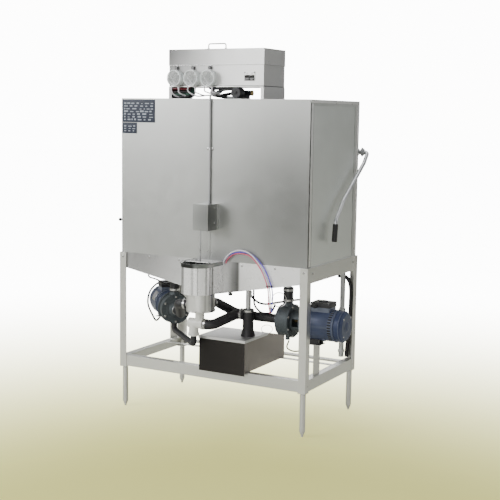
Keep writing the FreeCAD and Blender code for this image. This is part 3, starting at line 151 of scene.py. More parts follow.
def rgba(colour):
    return (colour[0], colour[1], colour[2], 1.0)


def tint(colour, factor):
    return tuple(channel * factor for channel in colour)


def shaded(n, colour, centre, reach, depth, side):
    """Painted shade: colour that darkens towards a point, and painted light or shade on faces turned
    to the right, scaled by side.
    """
    where = n.add("ShaderNodeNewGeometry")
    far = n.add("ShaderNodeVectorMath", operation="DISTANCE")
    far.inputs[1].default_value = centre
    n.link(where, "Position", far, 0)
    # painted shade: darkest, at depth, at the centre point, fading out by reach
    fall = n.add("ShaderNodeMapRange", interpolation_type="SMOOTHSTEP")
    fall.inputs["From Max"].default_value = reach
    fall.inputs["To Min"].default_value = depth
    fall.inputs["To Max"].default_value = 1.0
    n.link(far, "Value", fall, "Value")
    dark = n.mix(1.0, colour, (fall, "Result"), "MULTIPLY")
    # painted light or shade on right-facing faces, scaled by side
    split = n.add("ShaderNodeSeparateXYZ")
    n.link(where, "Normal", split, "Vector")
    turned = n.add("ShaderNodeMapRange")
    turned.inputs["To Min"].default_value = 1.0
    turned.inputs["To Max"].default_value = side
    n.link(split, "X", turned, "Value")
    return n.mix(1.0, (dark, 2), (turned, "Result"), "MULTIPLY")


def steel(name, colour, rough=0.34, grain=(1, 1, 40), edge=0.0012, spread=0.10, cloud=5.0,
          shade=((0, 0, 0), 1.0, 1.0, 0.86), metal=0.92, reflection_run=None, glow=0.0):
    """Brushed stainless: fine grain lines, faint clouding, smears in the roughness; painted shade
    from shade (right-facing faces at 0.86 by default), painted reflection bands along one axis when
    given, and a painted glow when glow is set.
    """
    n = Nodes(name)
    n.set(Metallic=metal)
    lines = n.noise(260.0, 3, 0.7, grain)
    clouds = n.noise(cloud, 3, 0.5)
    dark = n.mix((clouds, "Fac"), tint(colour, 1 - spread), tint(colour, 1 + spread * 0.4))
    streak = n.span(lines, "Fac", 0.90, 1.06)
    lined = n.mix(1.0, (dark, 2), (streak, "Result"), "MULTIPLY")
    # painted shade towards the shade point and on right-facing faces
    final = shaded(n, (lined, 2), *shade)
    # painted reflection bands along one axis, kept to the front where y is below about -0.28 m
    if reflection_run:
        front = axis_bands(n, "Y", -0.30, -0.26, ((0.0, 1.0), (0.5, 1.0), (1.0, 0.0)))
        seen = n.mix((front, "Color"), (1, 1, 1), (axis_bands(n, *reflection_run), "Color"))
        final = n.mix(1.0, (final, 2), (seen, 2), "MULTIPLY")
    n.link(final, 2, n.bsdf, "Base Color")
    # painted glow: the colour is also given off as light, though the part is no lamp
    if glow:
        n.link(final, 2, n.bsdf, "Emission Color")
        n.set(Emission_Strength=glow)
    smear = n.noise(14.0, 5, 0.6)
    fine = n.add("ShaderNodeMath", operation="MULTIPLY_ADD")
    n.link(lines, "Fac", fine, 0)
    fine.inputs[1].default_value = 0.16
    n.link(n.span(smear, "Fac", rough - 0.13, rough + 0.05), "Result", fine, 2)
    n.link(fine, "Value", n.bsdf, "Roughness")
    relief = n.bump(lines, "Fac", 0.12, 0.0004, n.edges(edge))
    n.link(relief, "Normal", n.bsdf, "Normal")
    return n.mat


def painted_facing_reflection(n, stops):
    """Painted reflections: grey bands that follow the way a surface faces, like strip lamps seen in
    curved steel.
    """
    facing = n.add("ShaderNodeNewGeometry")
    dot = n.add("ShaderNodeVectorMath", operation="DOT_PRODUCT")
    dot.inputs[1].default_value = (0.876, 0.482, 0)
    n.link(facing, "Normal", dot, 0)
    span = n.add("ShaderNodeMapRange")
    span.inputs["From Min"].default_value = -1
    n.link(dot, "Value", span, "Value")
    return n.ramp(span, "Result", [(place, (v, v, v)) for place, v in stops])


def axis_bands(n, axis, low, high, stops):
    """Grey bands that follow a place along one axis: a painted reflection of a neighbour in polished
    sheet; also used as a plain mask.
    """
    split = n.add("ShaderNodeSeparateXYZ")
    n.link(n.add("ShaderNodeNewGeometry"), "Position", split, "Vector")
    along = n.add("ShaderNodeMapRange")
    along.inputs["From Min"].default_value = low
    along.inputs["From Max"].default_value = high
    n.link(split, axis, along, "Value")
    return n.ramp(along, "Result", [(place, (v, v, v)) for place, v in stops])


# painted reflection on the trap along its length: a dark band, then darker towards the tank
TRAP_PAINTED_REFLECTION = ("Y", -0.51, -0.26,
            ((0.0, 1.0), (0.33, 1.0), (0.35, 0.28), (0.40, 0.28), (0.43, 1.0), (0.62, 0.9),
             (0.80, 0.72), (1.0, 0.60)))
# painted reflection bands on the trap, by the way each face turns
TRAP_REFLECTION_BANDS = ((0.0, 0.22), (0.08, 0.30), (0.11, 0.90), (0.30, 0.95), (0.34, 0.55), (0.38, 0.60),
              (0.41, 1.0), (0.50, 1.0), (0.52, 0.35), (0.55, 1.0), (0.74, 1.0), (0.77, 0.40),
              (0.80, 0.50), (0.82, 1.0), (0.868, 1.0), (0.88, 0.22), (0.905, 0.25), (0.915, 1.0),
              (1.0, 1.0))
# painted reflection: the trap as the tank front beside it reflects it, a dark band in the tank colour
TANK_PAINTED_REFLECTION = ("X", 0.08, 0.20,
            ((0.0, 0.80), (0.20, 0.66), (0.45, 0.30), (0.72, 0.12), (0.79, 0.45), (0.82, 1.0),
             (1.0, 1.0)))
# painted reflection bands on the trap rim
RIM_REFLECTION_BANDS = ((0.0, 0.03), (0.36, 0.05), (0.44, 0.18), (0.62, 0.30), (1.0, 0.55))
# painted reflection bands of strip lamps on polished steel
CHROME_REFLECTION_BANDS = ((0.0, 0.30), (0.12, 0.95), (0.21, 1.0), (0.25, 0.40), (0.31, 0.95), (0.36, 0.45),
                (0.42, 1.0), (0.55, 1.0), (0.60, 0.50), (0.66, 1.0), (0.80, 1.0), (0.86, 0.28),
                (0.90, 0.95), (1.0, 0.90))


# painted reflection bands on the sump pot
POT_REFLECTION_BANDS = ((0.0, 0.5), (0.10, 0.9), (0.40, 1.0), (0.62, 0.96), (0.68, 0.55), (0.74, 0.92),
             (0.80, 0.60), (0.86, 0.95), (0.90, 0.30), (1.0, 0.70))


def polished(name, colour, rough=0.12, bands=None, metal=1.0, reflection_run=None, glow=0.0):
    """Bright polished steel with faint turning marks and finger smears; painted reflections in bands
    by facing and along an axis, and a painted glow when glow is set.
    """
    n = Nodes(name)
    n.set(Metallic=metal)
    clouds = n.noise(30.0, 4)
    body = n.mix((clouds, "Fac"), tint(colour, 0.88), colour)
    # painted reflections of strip lamps, by the way each face turns
    if bands:
        body = n.mix(1.0, (body, 2), (painted_facing_reflection(n, bands), "Color"), "MULTIPLY")
    # painted reflection bands along one axis
    if reflection_run:
        body = n.mix(1.0, (body, 2), (axis_bands(n, *reflection_run), "Color"), "MULTIPLY")
    n.link(body, 2, n.bsdf, "Base Color")
    # painted glow: the colour is also given off as light, though the part is no lamp
    if glow:
        n.link(body, 2, n.bsdf, "Emission Color")
        n.set(Emission_Strength=glow)
    n.link(n.span(n.noise(22.0, 6, 0.7), "Fac", rough - 0.06, rough + 0.14), "Result",
           n.bsdf, "Roughness")
    marks = n.noise(180.0, 2, 0.5, (1, 1, 14))
    relief = n.bump(marks, "Fac", 0.05, 0.0003, n.edges(0.0008))
    n.link(relief, "Normal", n.bsdf, "Normal")
    return n.mat


def enamel(name, colour, rough=0.42, wear=(0.35, 0.36, 0.38)):
    """Sprayed enamel: orange-peel skin, rubbed edges."""
    n = Nodes(name)
    n.set(Metallic=0.15)
    clouds = n.noise(18.0, 5)
    body = n.mix((clouds, "Fac"), tint(colour, 0.72), tint(colour, 1.18))
    worn = n.add("ShaderNodeNewGeometry")
    rub = n.ramp(worn, "Pointiness", [(0.53, (0, 0, 0)), (0.60, (0.6, 0.6, 0.6))])
    n.link(n.mix((rub, "Color"), (body, 2), wear), 2, n.bsdf, "Base Color")
    n.link(n.span(n.noise(60.0, 3), "Fac", rough - 0.1, rough + 0.15), "Result",
           n.bsdf, "Roughness")
    peel = n.bump(n.noise(700.0, 2), "Fac", 0.10, 0.0004, n.edges(0.0015))
    n.link(peel, "Normal", n.bsdf, "Normal")
    return n.mat


def cast(name, colour):
    """Painted sand casting: coarse skin, darker pits."""
    n = Nodes(name)
    n.set(Metallic=0.35)
    pits = n.noise(240.0, 6, 0.65)
    body = n.ramp(pits, "Fac", [(0.35, tint(colour, 0.55)), (0.7, tint(colour, 1.25))])
    n.link(body, "Color", n.bsdf, "Base Color")
    n.link(n.span(pits, "Fac", 0.38, 0.7), "Result", n.bsdf, "Roughness")
    relief = n.bump(pits, "Fac", 0.35, 0.0012, n.edges(0.002))
    n.link(relief, "Normal", n.bsdf, "Normal")
    return n.mat


def moulded(name, colour, rough=0.45, grain=900.0, spread=0.12, sheen=0.0):
    """Rubber or plastic: fine moulded texture, uneven sheen."""
    n = Nodes(name)
    n.set(Metallic=0.0)
    cloud = n.noise(35.0, 5)
    shade = n.mix((cloud, "Fac"), tint(colour, 1 - spread), tint(colour, 1 + spread))
    n.link(shade, 2, n.bsdf, "Base Color")
    n.link(n.span(n.noise(90.0, 4), "Fac", rough - 0.12, rough + 0.12), "Result",
           n.bsdf, "Roughness")
    relief = n.bump(n.noise(grain, 2), "Fac", 0.12, 0.0003, n.edges(0.0008))
    n.link(relief, "Normal", n.bsdf, "Normal")
    if sheen:
        n.bsdf.inputs["Coat Weight"].default_value = sheen
    return n.mat


def clear(name, colour, rough=0.12, density=0.45):
    """Clear moulding: light passes, with a hazy surface and fine scuffs."""
    n = Nodes(name)
    n.set(Metallic=0.0, IOR=1.35)
    scuff = n.noise(120.0, 5, 0.7)
    n.link(n.mix((scuff, "Fac"), tint(colour, 0.94), colour), 2, n.bsdf, "Base Color")
    n.link(n.span(scuff, "Fac", rough, rough + 0.25), "Result", n.bsdf, "Roughness")
    n.link(n.span(n.noise(40.0, 3), "Fac", density - 0.1, density + 0.12), "Result",
           n.bsdf, "Alpha")
    relief = n.bump(scuff, "Fac", 0.08, 0.0003, n.edges(0.0008))
    n.link(relief, "Normal", n.bsdf, "Normal")
    return n.mat


M = {
    # painted shade: darker towards a point low in the frame, right-facing faces at 0.88
    "frame_steel": steel("frame_stainless", (0.80, 0.80, 0.76), 0.30, (40, 40, 1.5),
                         shade=((0.2, -0.1, 0.2), 0.5, 0.84, 0.88)),
    # painted light and shade: darker towards a point at the front right of the hood, right-facing
    # faces lighter by 1.10
    "panel_steel": steel("panel_stainless", (0.565, 0.575, 0.56), 0.34, (30, 30, 1),
                         shade=((0.52, -0.34, 1.12), 0.72, 0.44, 1.10)),
    # painted shade towards the left of the tank front, right-facing faces at 0.9, the painted
    # reflection of the trap, and a faint painted glow
    "tank_steel": steel("tank_stainless", (0.98, 0.98, 0.97), 0.26, (1, 30, 30),
                        shade=((-0.46, -0.30, 0.86), 0.46, 0.42, 0.9), metal=0.3, reflection_run=TANK_PAINTED_REFLECTION,
                        glow=0.10),
    # painted reflections of strip lamps from the chrome bands
    "polished_steel": polished("polished_stainless", (0.88, 0.88, 0.87), 0.12, CHROME_REFLECTION_BANDS),
    # painted shade by default: right-facing faces at 0.86
    "pipe_steel": steel("pipe_stainless", (0.62, 0.63, 0.64), 0.26, (6, 6, 6)),
    "fastener_steel": polished("fastener_stainless", (0.62, 0.62, 0.62), 0.2),
    # painted shade by default: right-facing faces at 0.86
    "spring_steel": steel("spring_wire", (0.30, 0.31, 0.33), 0.35, (8, 8, 8)),
    "bearing_iron": cast("bearing_casting", (0.36, 0.37, 0.38)),
    "casing_iron": cast("pump_casting", (0.075, 0.090, 0.098)),
    "motor_paint": enamel("motor_enamel", (0.022, 0.036, 0.092), 0.34, (0.20, 0.22, 0.26)),
    "impeller_brass": polished("impeller_bronze", (0.55, 0.42, 0.20), 0.3),
    "black_rubber": moulded("black_rubber", (0.012, 0.012, 0.014), 0.48, 500.0),
    "grip_rubber": moulded("grip_rubber", (0.016, 0.016, 0.016), 0.55, 1400.0),
    "white_pvc": moulded("white_pvc", (0.74, 0.74, 0.69), 0.35, 600.0, 0.06, 0.2),
    "conduit_grey": moulded("conduit_grey", (0.42, 0.43, 0.44), 0.40, 800.0),
    "coil_black": moulded("coil_black", (0.015, 0.015, 0.018), 0.42, 700.0),
    "clear_cover": clear("clear_cover", (0.95, 0.98, 0.97), 0.08, 0.20),
    "cup_plastic": moulded("cup_plastic", (0.86, 0.90, 0.90), 0.3, 600.0, 0.08, 0.3),
    "rotor_plastic": moulded("rotor_plastic", (0.075, 0.085, 0.085), 0.35, 600.0),
    "button_black": moulded("button_black", (0.010, 0.010, 0.011), 0.25, 1200.0, 0.1, 0.4),
    # painted light and shade: near-black front, right-facing faces seven times lighter, darker
    # towards a point low at the front
    "box_steel": steel("dark_box_sheet", (0.050, 0.046, 0.044), 0.40, (1, 1, 20), 0.0015,
                       shade=((0.0, -0.40, 0.35), 0.35, 0.6, 7.0)),
    # painted shade by default: right-facing faces at 0.86
    "lid_steel": steel("lid_sheet", (0.80, 0.80, 0.80), 0.34, (20, 1, 1)),
}
M["blue_tube"] = clear("tube_blue", (0.20, 0.16, 0.75), 0.15, 0.86)
M["red_tube"] = clear("tube_red", (0.85, 0.18, 0.28), 0.15, 0.86)
M["white_tube"] = clear("tube_white", (0.93, 0.90, 0.95), 0.15, 0.88)
M["green_tube"] = moulded("tube_green", (0.020, 0.075, 0.050), 0.35, 900.0)
M["wine_tube"] = moulded("tube_wine", (0.130, 0.010, 0.014), 0.35, 900.0)
M["placard"] = moulded("placard_blue", (0.014, 0.021, 0.042), 0.5, 600.0, 0.2)
M["placard_pale"] = moulded("placard_pale", (0.36, 0.40, 0.46), 0.5, 600.0, 0.1)
# painted reflection bands on the trap rim
M["rim_steel"] = polished("rim_stainless", (0.80, 0.84, 0.82), 0.3, RIM_REFLECTION_BANDS, 0.8)
# painted reflections by facing and along its length, and a faint painted glow
M["trap_steel"] = polished("trap_stainless", (0.98, 0.98, 0.97), 0.24, TRAP_REFLECTION_BANDS, 0.4,
                           TRAP_PAINTED_REFLECTION, 0.16)
# brighter copy of the stainless with no shade: painted highlight on the folded door-guide edges and
# the box hem
M["trim_steel"] = steel("edge_highlight_stainless", (0.88, 0.88, 0.86), 0.30, (30, 30, 1), 0.0004, 0.03,
                        shade=((0, 0, 0), 1.0, 1.0, 1.0))
# painted shade: darker towards the left end of the control box front, right-facing faces at 0.5
M["roof_box"] = steel("roof_box_stainless", (0.98, 0.98, 0.97), 0.46, (1, 30, 30),
                      shade=((-0.36, -0.27, 1.96), 0.60, 0.10, 0.50), metal=0.7)
# painted shade: darker towards a point on the coil cover front, right-facing faces at 0.62
M["cover_box"] = steel("coil_cover_stainless", (0.56, 0.57, 0.56), 0.34, (30, 30, 1),
                       shade=((0.05, -0.405, 1.09), 0.20, 0.45, 0.62))
# painted light and shade: right-facing faces lighter by 1.34, darker towards a point high at the rear
M["door_steel"] = steel("door_stainless", (0.60, 0.62, 0.60), 0.34, (30, 30, 1),
                        shade=((0.55, 0.30, 1.75), 1.1, 0.84, 1.34))
# painted reflection bands on the sump pot
M["pot_steel"] = polished("pot_stainless", (0.88, 0.88, 0.85), 0.3, POT_REFLECTION_BANDS, 0.75)
M["handle_steel"] = polished("handle_stainless", (0.17, 0.17, 0.165), 0.25)

# node variants: most are copies of their material with painted shade or painted reflections placed
# for one spot, the trap also with a faint painted glow; the cover handle is darker
FINISH_AND_PAINTED_LIGHT = {"door_right": "door_steel", "door_left": "door_steel", "side_frames": "door_steel",
          "control_box": "roof_box", "control_cover": "roof_box", "box_stands": "roof_box",
          "solenoid_box": "cover_box", "scrap_accumulator": "trap_steel", "sump_pot": "pot_steel", "cover_handle": "handle_steel"}
# near-black: painted shade in the sheet seams and motor slots, and the colour of the switch marks
M["dark_gap"] = moulded("dark_gap", (0.010, 0.011, 0.013), 0.7, 300.0)


def paint_nodes():
    """Give each CAD node its variant with painted light or its own finish, or the material of its
    slot in the record.
    """
    for part in frame["record"]["subparts"]:
        obj = frame["nodes"][part["node"]]
        obj.data.materials.clear()
        obj.data.materials.append(M[FINISH_AND_PAINTED_LIGHT.get(part["node"], part["material_slot"])])


paint_nodes()


# ---------------------------------------------------------------- mesh building

class Builder:
    """Collects shells into one mesh piece."""

    def __init__(self):
        self.bm = bmesh.new()

    def ring(self, centre, u, v, radius, count):
        step = math.tau / count
        return [self.bm.verts.new(centre + (u * math.cos(i * step) + v * math.sin(i * step))
                                  * radius) for i in range(count)]

    def bridge(self, first, second):
        count = len(first)
        for i in range(count):
            j = (i + 1) % count
            self.bm.faces.new((first[i], first[j], second[j], second[i]))

    def lathe(self, origin, axis, profile, count=32):
        """Turn (radius, distance) points round an axis; the ends are closed."""
        axis = axis.normalized()
        u = axis.orthogonal().normalized()
        v = axis.cross(u)
        rings = [self.ring(origin + axis * (d * MM), u, v, r * MM, count) for r, d in profile]
        for first, second in zip(rings, rings[1:]):
            self.bridge(first, second)
        self.bm.faces.new(list(reversed(rings[0])))
        self.bm.faces.new(rings[-1])

    def band(self, origin, axis, inner, outer, low, high, count=40, soft=0.4):
        """Closed ring with a rectangular section and eased corners."""
        axis = axis.normalized()
        u = axis.orthogonal().normalized()
        v = axis.cross(u)
        soft = min(soft, (outer - inner) / 3, (high - low) / 3)
        section = [
            (inner, low), (outer - soft, low), (outer, low + soft),
            (outer, high - soft), (outer - soft, high), (inner, high),
        ]
        rings = [self.ring(origin + axis * (d * MM), u, v, r * MM, count) for r, d in section]
        for first, second in zip(rings, rings[1:] + rings[:1]):
            self.bridge(first, second)

    def sheet(self, path, thick, low, high):
        """Upright strip along a line in plan, thickened to its right-hand side."""
        rings = []
        for i, (x, y) in enumerate(path):
            ahead, behind = path[min(i + 1, len(path) - 1)], path[max(i - 1, 0)]
            along = Vector((ahead[0] - behind[0], ahead[1] - behind[1], 0)).normalized()
            off = Vector((along.y, -along.x, 0)) * thick
            rings.append([self.bm.verts.new(mm(px, py, z)) for px, py, z in (
                (x, y, low), (x + off.x, y + off.y, low),
                (x + off.x, y + off.y, high), (x, y, high))])
        for first, second in zip(rings, rings[1:]):
            self.bridge(first, second)
        self.bm.faces.new(rings[0])
        self.bm.faces.new(rings[-1])

    def tube(self, points, radius, count=14, step=6, closed=False):
        """Round tube along a smooth curve through the points, given in millimetres."""
        path = smooth(points, step, closed)
        frames = carry(path, closed)
        rings = [self.ring(p, u, v, radius * MM, count) for p, u, v in frames]
        for first, second in zip(rings, rings[1:]):
            self.bridge(first, second)
        if closed:
            self.bridge(rings[-1], rings[0])
        else:
            self.bm.faces.new(list(reversed(rings[0])))
            self.bm.faces.new(rings[-1])

    def block(self, low, high, soft=0.8, segments=2):
        """Box between two corners in millimetres, with rounded edges."""
        low, high = mm(*low), mm(*high)
        corners = [(x, y, z) for x in (low.x, high.x) for y in (low.y, high.y)
                   for z in (low.z, high.z)]
        verts = [self.bm.verts.new(c) for c in corners]
        faces = [(0, 1, 3, 2), (4, 6, 7, 5), (0, 4, 5, 1), (2, 3, 7, 6), (0, 2, 6, 4),
                 (1, 5, 7, 3)]
        made = [self.bm.faces.new([verts[i] for i in face]) for face in faces]
        edges = list({edge for face in made for edge in face.edges})
        bmesh.ops.bevel(self.bm, geom=edges, offset=soft * MM, segments=segments,
                        profile=0.7, affect="EDGES")

    def screw(self, place, axis, radius=3.5, height=2.2):
        """Pan-head screw with a washer under it."""
        self.lathe(place, axis, [
            (radius * 1.45, 0), (radius * 1.45, 0.5), (radius * 1.35, 0.7), (radius, 0.7),
            (radius, height * 0.6), (radius * 0.75, height), (radius * 0.3, height),
            (radius * 0.26, height * 0.62)], 20)

    def hexagon(self, place, axis, radius=6.0, height=4.5):
        """Hexagon head on a round washer."""
        self.lathe(place, axis, [(radius * 1.35, 0), (radius * 1.35, 0.8), (radius * 1.2, 1.1),
                                 (radius * 0.9, 1.1)], 24)
        self.lathe(place, axis, [(radius, 1.0), (radius, height - 0.6), (radius * 0.88, height)],
                   6)

    def finish(self, name, material, body, slot=None, angle=35.0):
        bmesh.ops.recalc_face_normals(self.bm, faces=self.bm.faces[:])
        mesh = bpy.data.meshes.new(name)
        self.bm.to_mesh(mesh)
        self.bm.free()
        mesh.polygons.foreach_set("use_smooth", [True] * len(mesh.polygons))
        mesh.set_sharp_from_angle(angle=math.radians(angle))
        mesh.materials.append(M[material])
        obj = bpy.data.objects.new(name, mesh)
        bpy.context.scene.collection.objects.link(obj)
        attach(obj, body)
        return obj


def smooth(points, step, closed):
    """Catmull-Rom curve through the points, as metres."""
    knots = [mm(*p) for p in points]
    count = len(knots)
    path = []
    for i in range(count if closed else count - 1):
        if closed:
            a, b, c, e = (knots[(i + k - 1) % count] for k in range(4))
        else:
            b, c = knots[i], knots[i + 1]
            a = knots[i - 1] if i else b + (b - c)
            e = knots[i + 2] if i + 2 < count else c + (c - b)
        for k in range(step):
            t = k / step
            path.append(0.5 * ((2 * b) + (c - a) * t + (2 * a - 5 * b + 4 * c - e) * t * t
                               + (3 * b - a - 3 * c + e) * t ** 3))
    if not closed:
        path.append(knots[-1])
    return path


def carry(path, closed):
    """Cross-section axes carried along a path without twist."""
    count = len(path)
    frames = []
    u = None
    for i, point in enumerate(path):
        before = path[i - 1] if i or closed else point
        after = path[(i + 1) % count] if i + 1 < count or closed else point
        ahead = (after - before).normalized()
        if u is None:
            u = ahead.orthogonal().normalized()
        u = (u - ahead * u.dot(ahead)).normalized()
        frames.append((point, u, ahead.cross(u)))
    return frames


# ---------------------------------------------------------------- hood and frame details

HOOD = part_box("front_panel_left")[0].y / MM
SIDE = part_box("front_panel_right")[1].x / MM
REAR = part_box("back_panel")[1].y / MM
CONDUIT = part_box("front_conduit")


def make_placards():
    """Blank data plates on the left front panel, with a raised border and plain fields."""
    rng = random.Random(3)
    plates = Builder()
    fields = Builder()
    for x0, x1, z0, z1, rows in ((-554, -345, 1561, 1681, 7), (-554, -460, 1502, 1559, 3)):
        plates.block((x0, HOOD - 1.6, z0), (x1, HOOD - 0.05, z1), 0.6)
        edge = 4
        for a, b, c, e in ((x0, x1, z0, z0 + edge), (x0, x1, z1 - edge, z1),
                           (x0, x0 + edge, z0 + edge, z1 - edge),
                           (x1 - edge, x1, z0 + edge, z1 - edge)):
            plates.block((a + 1, HOOD - 2.3, c + 1), (b - 1, HOOD - 1.4, e - 1), 0.3)
        height = (z1 - z0 - 20) / rows
        for row in range(rows):
            low = z0 + 11 + row * height
            x = x0 + 12
            while x < x1 - 22:
                width = rng.uniform(7, 26)
                fields.block((x, HOOD - 2.0, low), (min(x + width, x1 - 11), HOOD - 1.5,
                                                    low + height * rng.uniform(0.25, 0.6)), 0.2)
                x += width + rng.uniform(6, 20)
    plates.finish("placards", "placard", "machine")
    fields.finish("placard_fields", "placard_pale", "machine")


def make_conduit_clip():
    x = -3.0
    y = CONDUIT[0].y / MM + 5.5
    z = 1433
    clip = Builder()
    clip.tube([(x - 9, HOOD - 0.8, z), (x - 7, y, z), (x, y - 7, z), (x + 7, y, z),
               (x + 9, HOOD - 0.8, z)], 1.4, 8, 5)
    for side in (-1, 1):
        x0, x1 = sorted((x + side * 8, x + side * 20))
        clip.block((x0, HOOD - 1.8, z - 7), (x1, HOOD - 0.05, z + 7), 0.5)
        clip.screw(mm(x + side * 14, HOOD - 1.8, z), FRONT, 3.2, 2.4)
    clip.band(mm(x, y, z), UP, 5.6, 7.4, -6, 6)
    clip.finish("conduit_clip", "fastener_steel", "machine", "fastener_steel")


def make_cover_screws():
    """Screws of the solenoid cover on both sides, and its side flanges."""
    low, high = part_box("solenoid_box")
    screws = Builder()
    for z in (1059, 1134):
        screws.screw(Vector((high.x, -0.340, z * MM)), RIGHT, 3.2, 2.4)
        screws.screw(Vector((low.x, -0.340, z * MM)), LEFT, 3.2, 2.4)
    seam = Builder()
    seam.block((high.x / MM - 0.2, HOOD - 14, low.z / MM + 2), (high.x / MM + 1.0, HOOD - 1,
                                                                high.z / MM - 2), 0.4)
    seam.block((low.x / MM - 1.0, HOOD - 14, low.z / MM + 2), (low.x / MM + 0.2, HOOD - 1,
                                                               high.z / MM - 2), 0.4)
    screws.finish("solenoid_screws", "fastener_steel", "machine", "fastener_steel")
    seam.finish("solenoid_flanges", "panel_steel", "machine", "panel_steel")


def make_hood_fasteners():
    """Screws along the folded strips, the roof and the back, and the knob on the left."""
    screws = Builder()
    for side in (-1, 1):
        out = Vector((side, 0, 0))
        for z in (900, 1160, 1420, 1640):
            screws.screw(mm(side * SIDE, -283, z), out, 3.0, 2.0)
            screws.screw(mm(side * SIDE, 272, z), out, 3.0, 2.0)
        for y in (-200, 0, 200):
            screws.screw(mm(side * SIDE, y, 1672), out, 2.8, 1.8)
        for y in (-292, 292):
            screws.screw(mm(side * 380, y, 1688), UP, 2.8, 1.8)
        for z in (890, 1150, 1300, 1560, 1660):
            screws.screw(mm(side * 545, REAR, z), BACK, 3.0, 2.0)
        for x in (100, 300, 470):
            screws.screw(mm(side * x, REAR, 1675), BACK, 3.0, 2.0)
            screws.screw(mm(side * x, REAR, 876), BACK, 3.0, 2.0)
        screws.screw(mm(side * 12, HOOD, 1672), FRONT, 2.6, 1.8)
        screws.screw(mm(side * 12, HOOD, 905), FRONT, 2.6, 1.8)
    screws.finish("hood_screws", "fastener_steel", "machine", "fastener_steel")
    knob = Builder()
    knob.lathe(mm(-SIDE, -293, 1035), LEFT,
               [(4, 0), (4, 12), (8.5, 13), (9.5, 19), (7, 24), (2, 25)])
    knob.finish("hood_knob", "button_black", "machine", "button_black")


def make_corner_trim():
    """Folded edges of the door guides in a lighter painted highlight, and near-black strips of
    painted shade for the seams beside them and under the roof box.
    """
    # folded edge strips in the brighter trim steel: painted highlight
    trim = Builder()
    for side in (-1, 1):
        for proud, y0, y1, z0, z1 in ((1.6, -290, -270, 866, 1668), (1.2, 279, 290, 866, 1668),
                                      (1.0, -300, 300, 1672, 1687)):
            reach = sorted((side * (SIDE - 0.6), side * (SIDE + proud)))
            trim.block((reach[0], y0, z0), (reach[1], y1, z1), 0.5)
    trim.finish("door_guide_trim", "trim_steel", "machine")
    # near-black strips on the seams: painted shade where the sheets meet
    seams = Builder()
    seams.block((SIDE - 1.0, -297, 864), (SIDE + 0.4, -290.5, 1684), 0.3)
    seams.block((SIDE - 1.0, -269, 866), (SIDE - 0.5, -266, 1664), 0.2)
    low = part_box("control_box")[0] / MM
    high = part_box("control_box")[1] / MM
    seams.block((low.x + 2, low.y - 0.5, low.z + 5), (high.x - 2, low.y + 0.2, low.z + 7), 0.3)
    seams.block((high.x - 0.2, low.y + 2, low.z + 3), (high.x + 0.6, high.y - 2, low.z + 6), 0.3)
    seams.finish("seam_gap_shade", "dark_gap", "machine")
    # hem strip under the cover front in the brighter trim steel: painted highlight
    lip = Builder()
    lip.block((low.x + 1, low.y - 1.2, low.z - 0.8), (high.x - 1, low.y + 0.5, low.z + 4.5), 0.5)
    lip.finish("box_lip", "trim_steel", "machine")


def make_frame_fasteners():
    bolts = Builder()
    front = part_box("frame_legs")[0].y / MM
    for side in (-1, 1):
        bolts.hexagon(mm(side * 516 + side * 30, front, 838), FRONT, 5.5, 4.5)
        for y in (-1, 1):
            x = side * 545
            bolts.lathe(mm(x, y * 290.5, 218), UP, [(13, 0), (13, 6), (11.5, 6.9)], 6)
            bolts.lathe(mm(x, y * 290.5, 231), UP, [(13, 0), (13, 8), (11.5, 9)], 6)
    for side in (-1, 1):
        for y in (-1, 1):
            bolts.hexagon(mm(side * 564, y * 282, 260), Vector((side, 0, 0)), 5.0, 3.0)
    bolts.finish("frame_nuts", "fastener_steel", "machine", "fastener_steel")
    welds = Builder()
    rng = random.Random(7)
    for side in (-1, 1):
        for y, way in ((-309.5, -1), (309.5, 1)):
            path = [(side * 525.5, y + way * 0.6 + rng.uniform(-0.2, 0.2), z)
                    for z in range(232, 290, 6)]
            welds.tube(path, 1.5, 8, 2)
    welds.finish("frame_welds", "frame_steel", "machine", "frame_steel")


def make_tank_details():
    bolts = Builder()
    for x, z in ((-381, 845), (191, 844), (381, 845), (-191, 845)):
        bolts.hexagon(mm(x, HOOD, z), FRONT, 4.5, 3.6)
    for x in (-381, -190, 0, 190, 381):
        bolts.hexagon(mm(x, REAR, 845), BACK, 4.5, 3.6)
    bolts.finish("tank_bolts", "fastener_steel", "machine", "fastener_steel")
    plug = Builder()
    plug.lathe(mm(117, -290, 700), DOWN, [(7, 0), (7, 4), (11, 5), (12, 12), (10, 17), (4, 19)])
    plug.finish("tank_plug", "button_black", "machine", "button_black")
    seam = Builder()
    for y in (HOOD, REAR):
        out = -1 if y < 0 else 1
        seam.tube([(-555, y + out * 0.4, 783.5), (-280, y + out * 0.4, 731),
                   (0, y + out * 0.4, 678.5), (280, y + out * 0.4, 731),
                   (555, y + out * 0.4, 783.5)], 1.3, 8, 1)
    seam.finish("tank_weld", "tank_steel", "machine", "tank_steel")


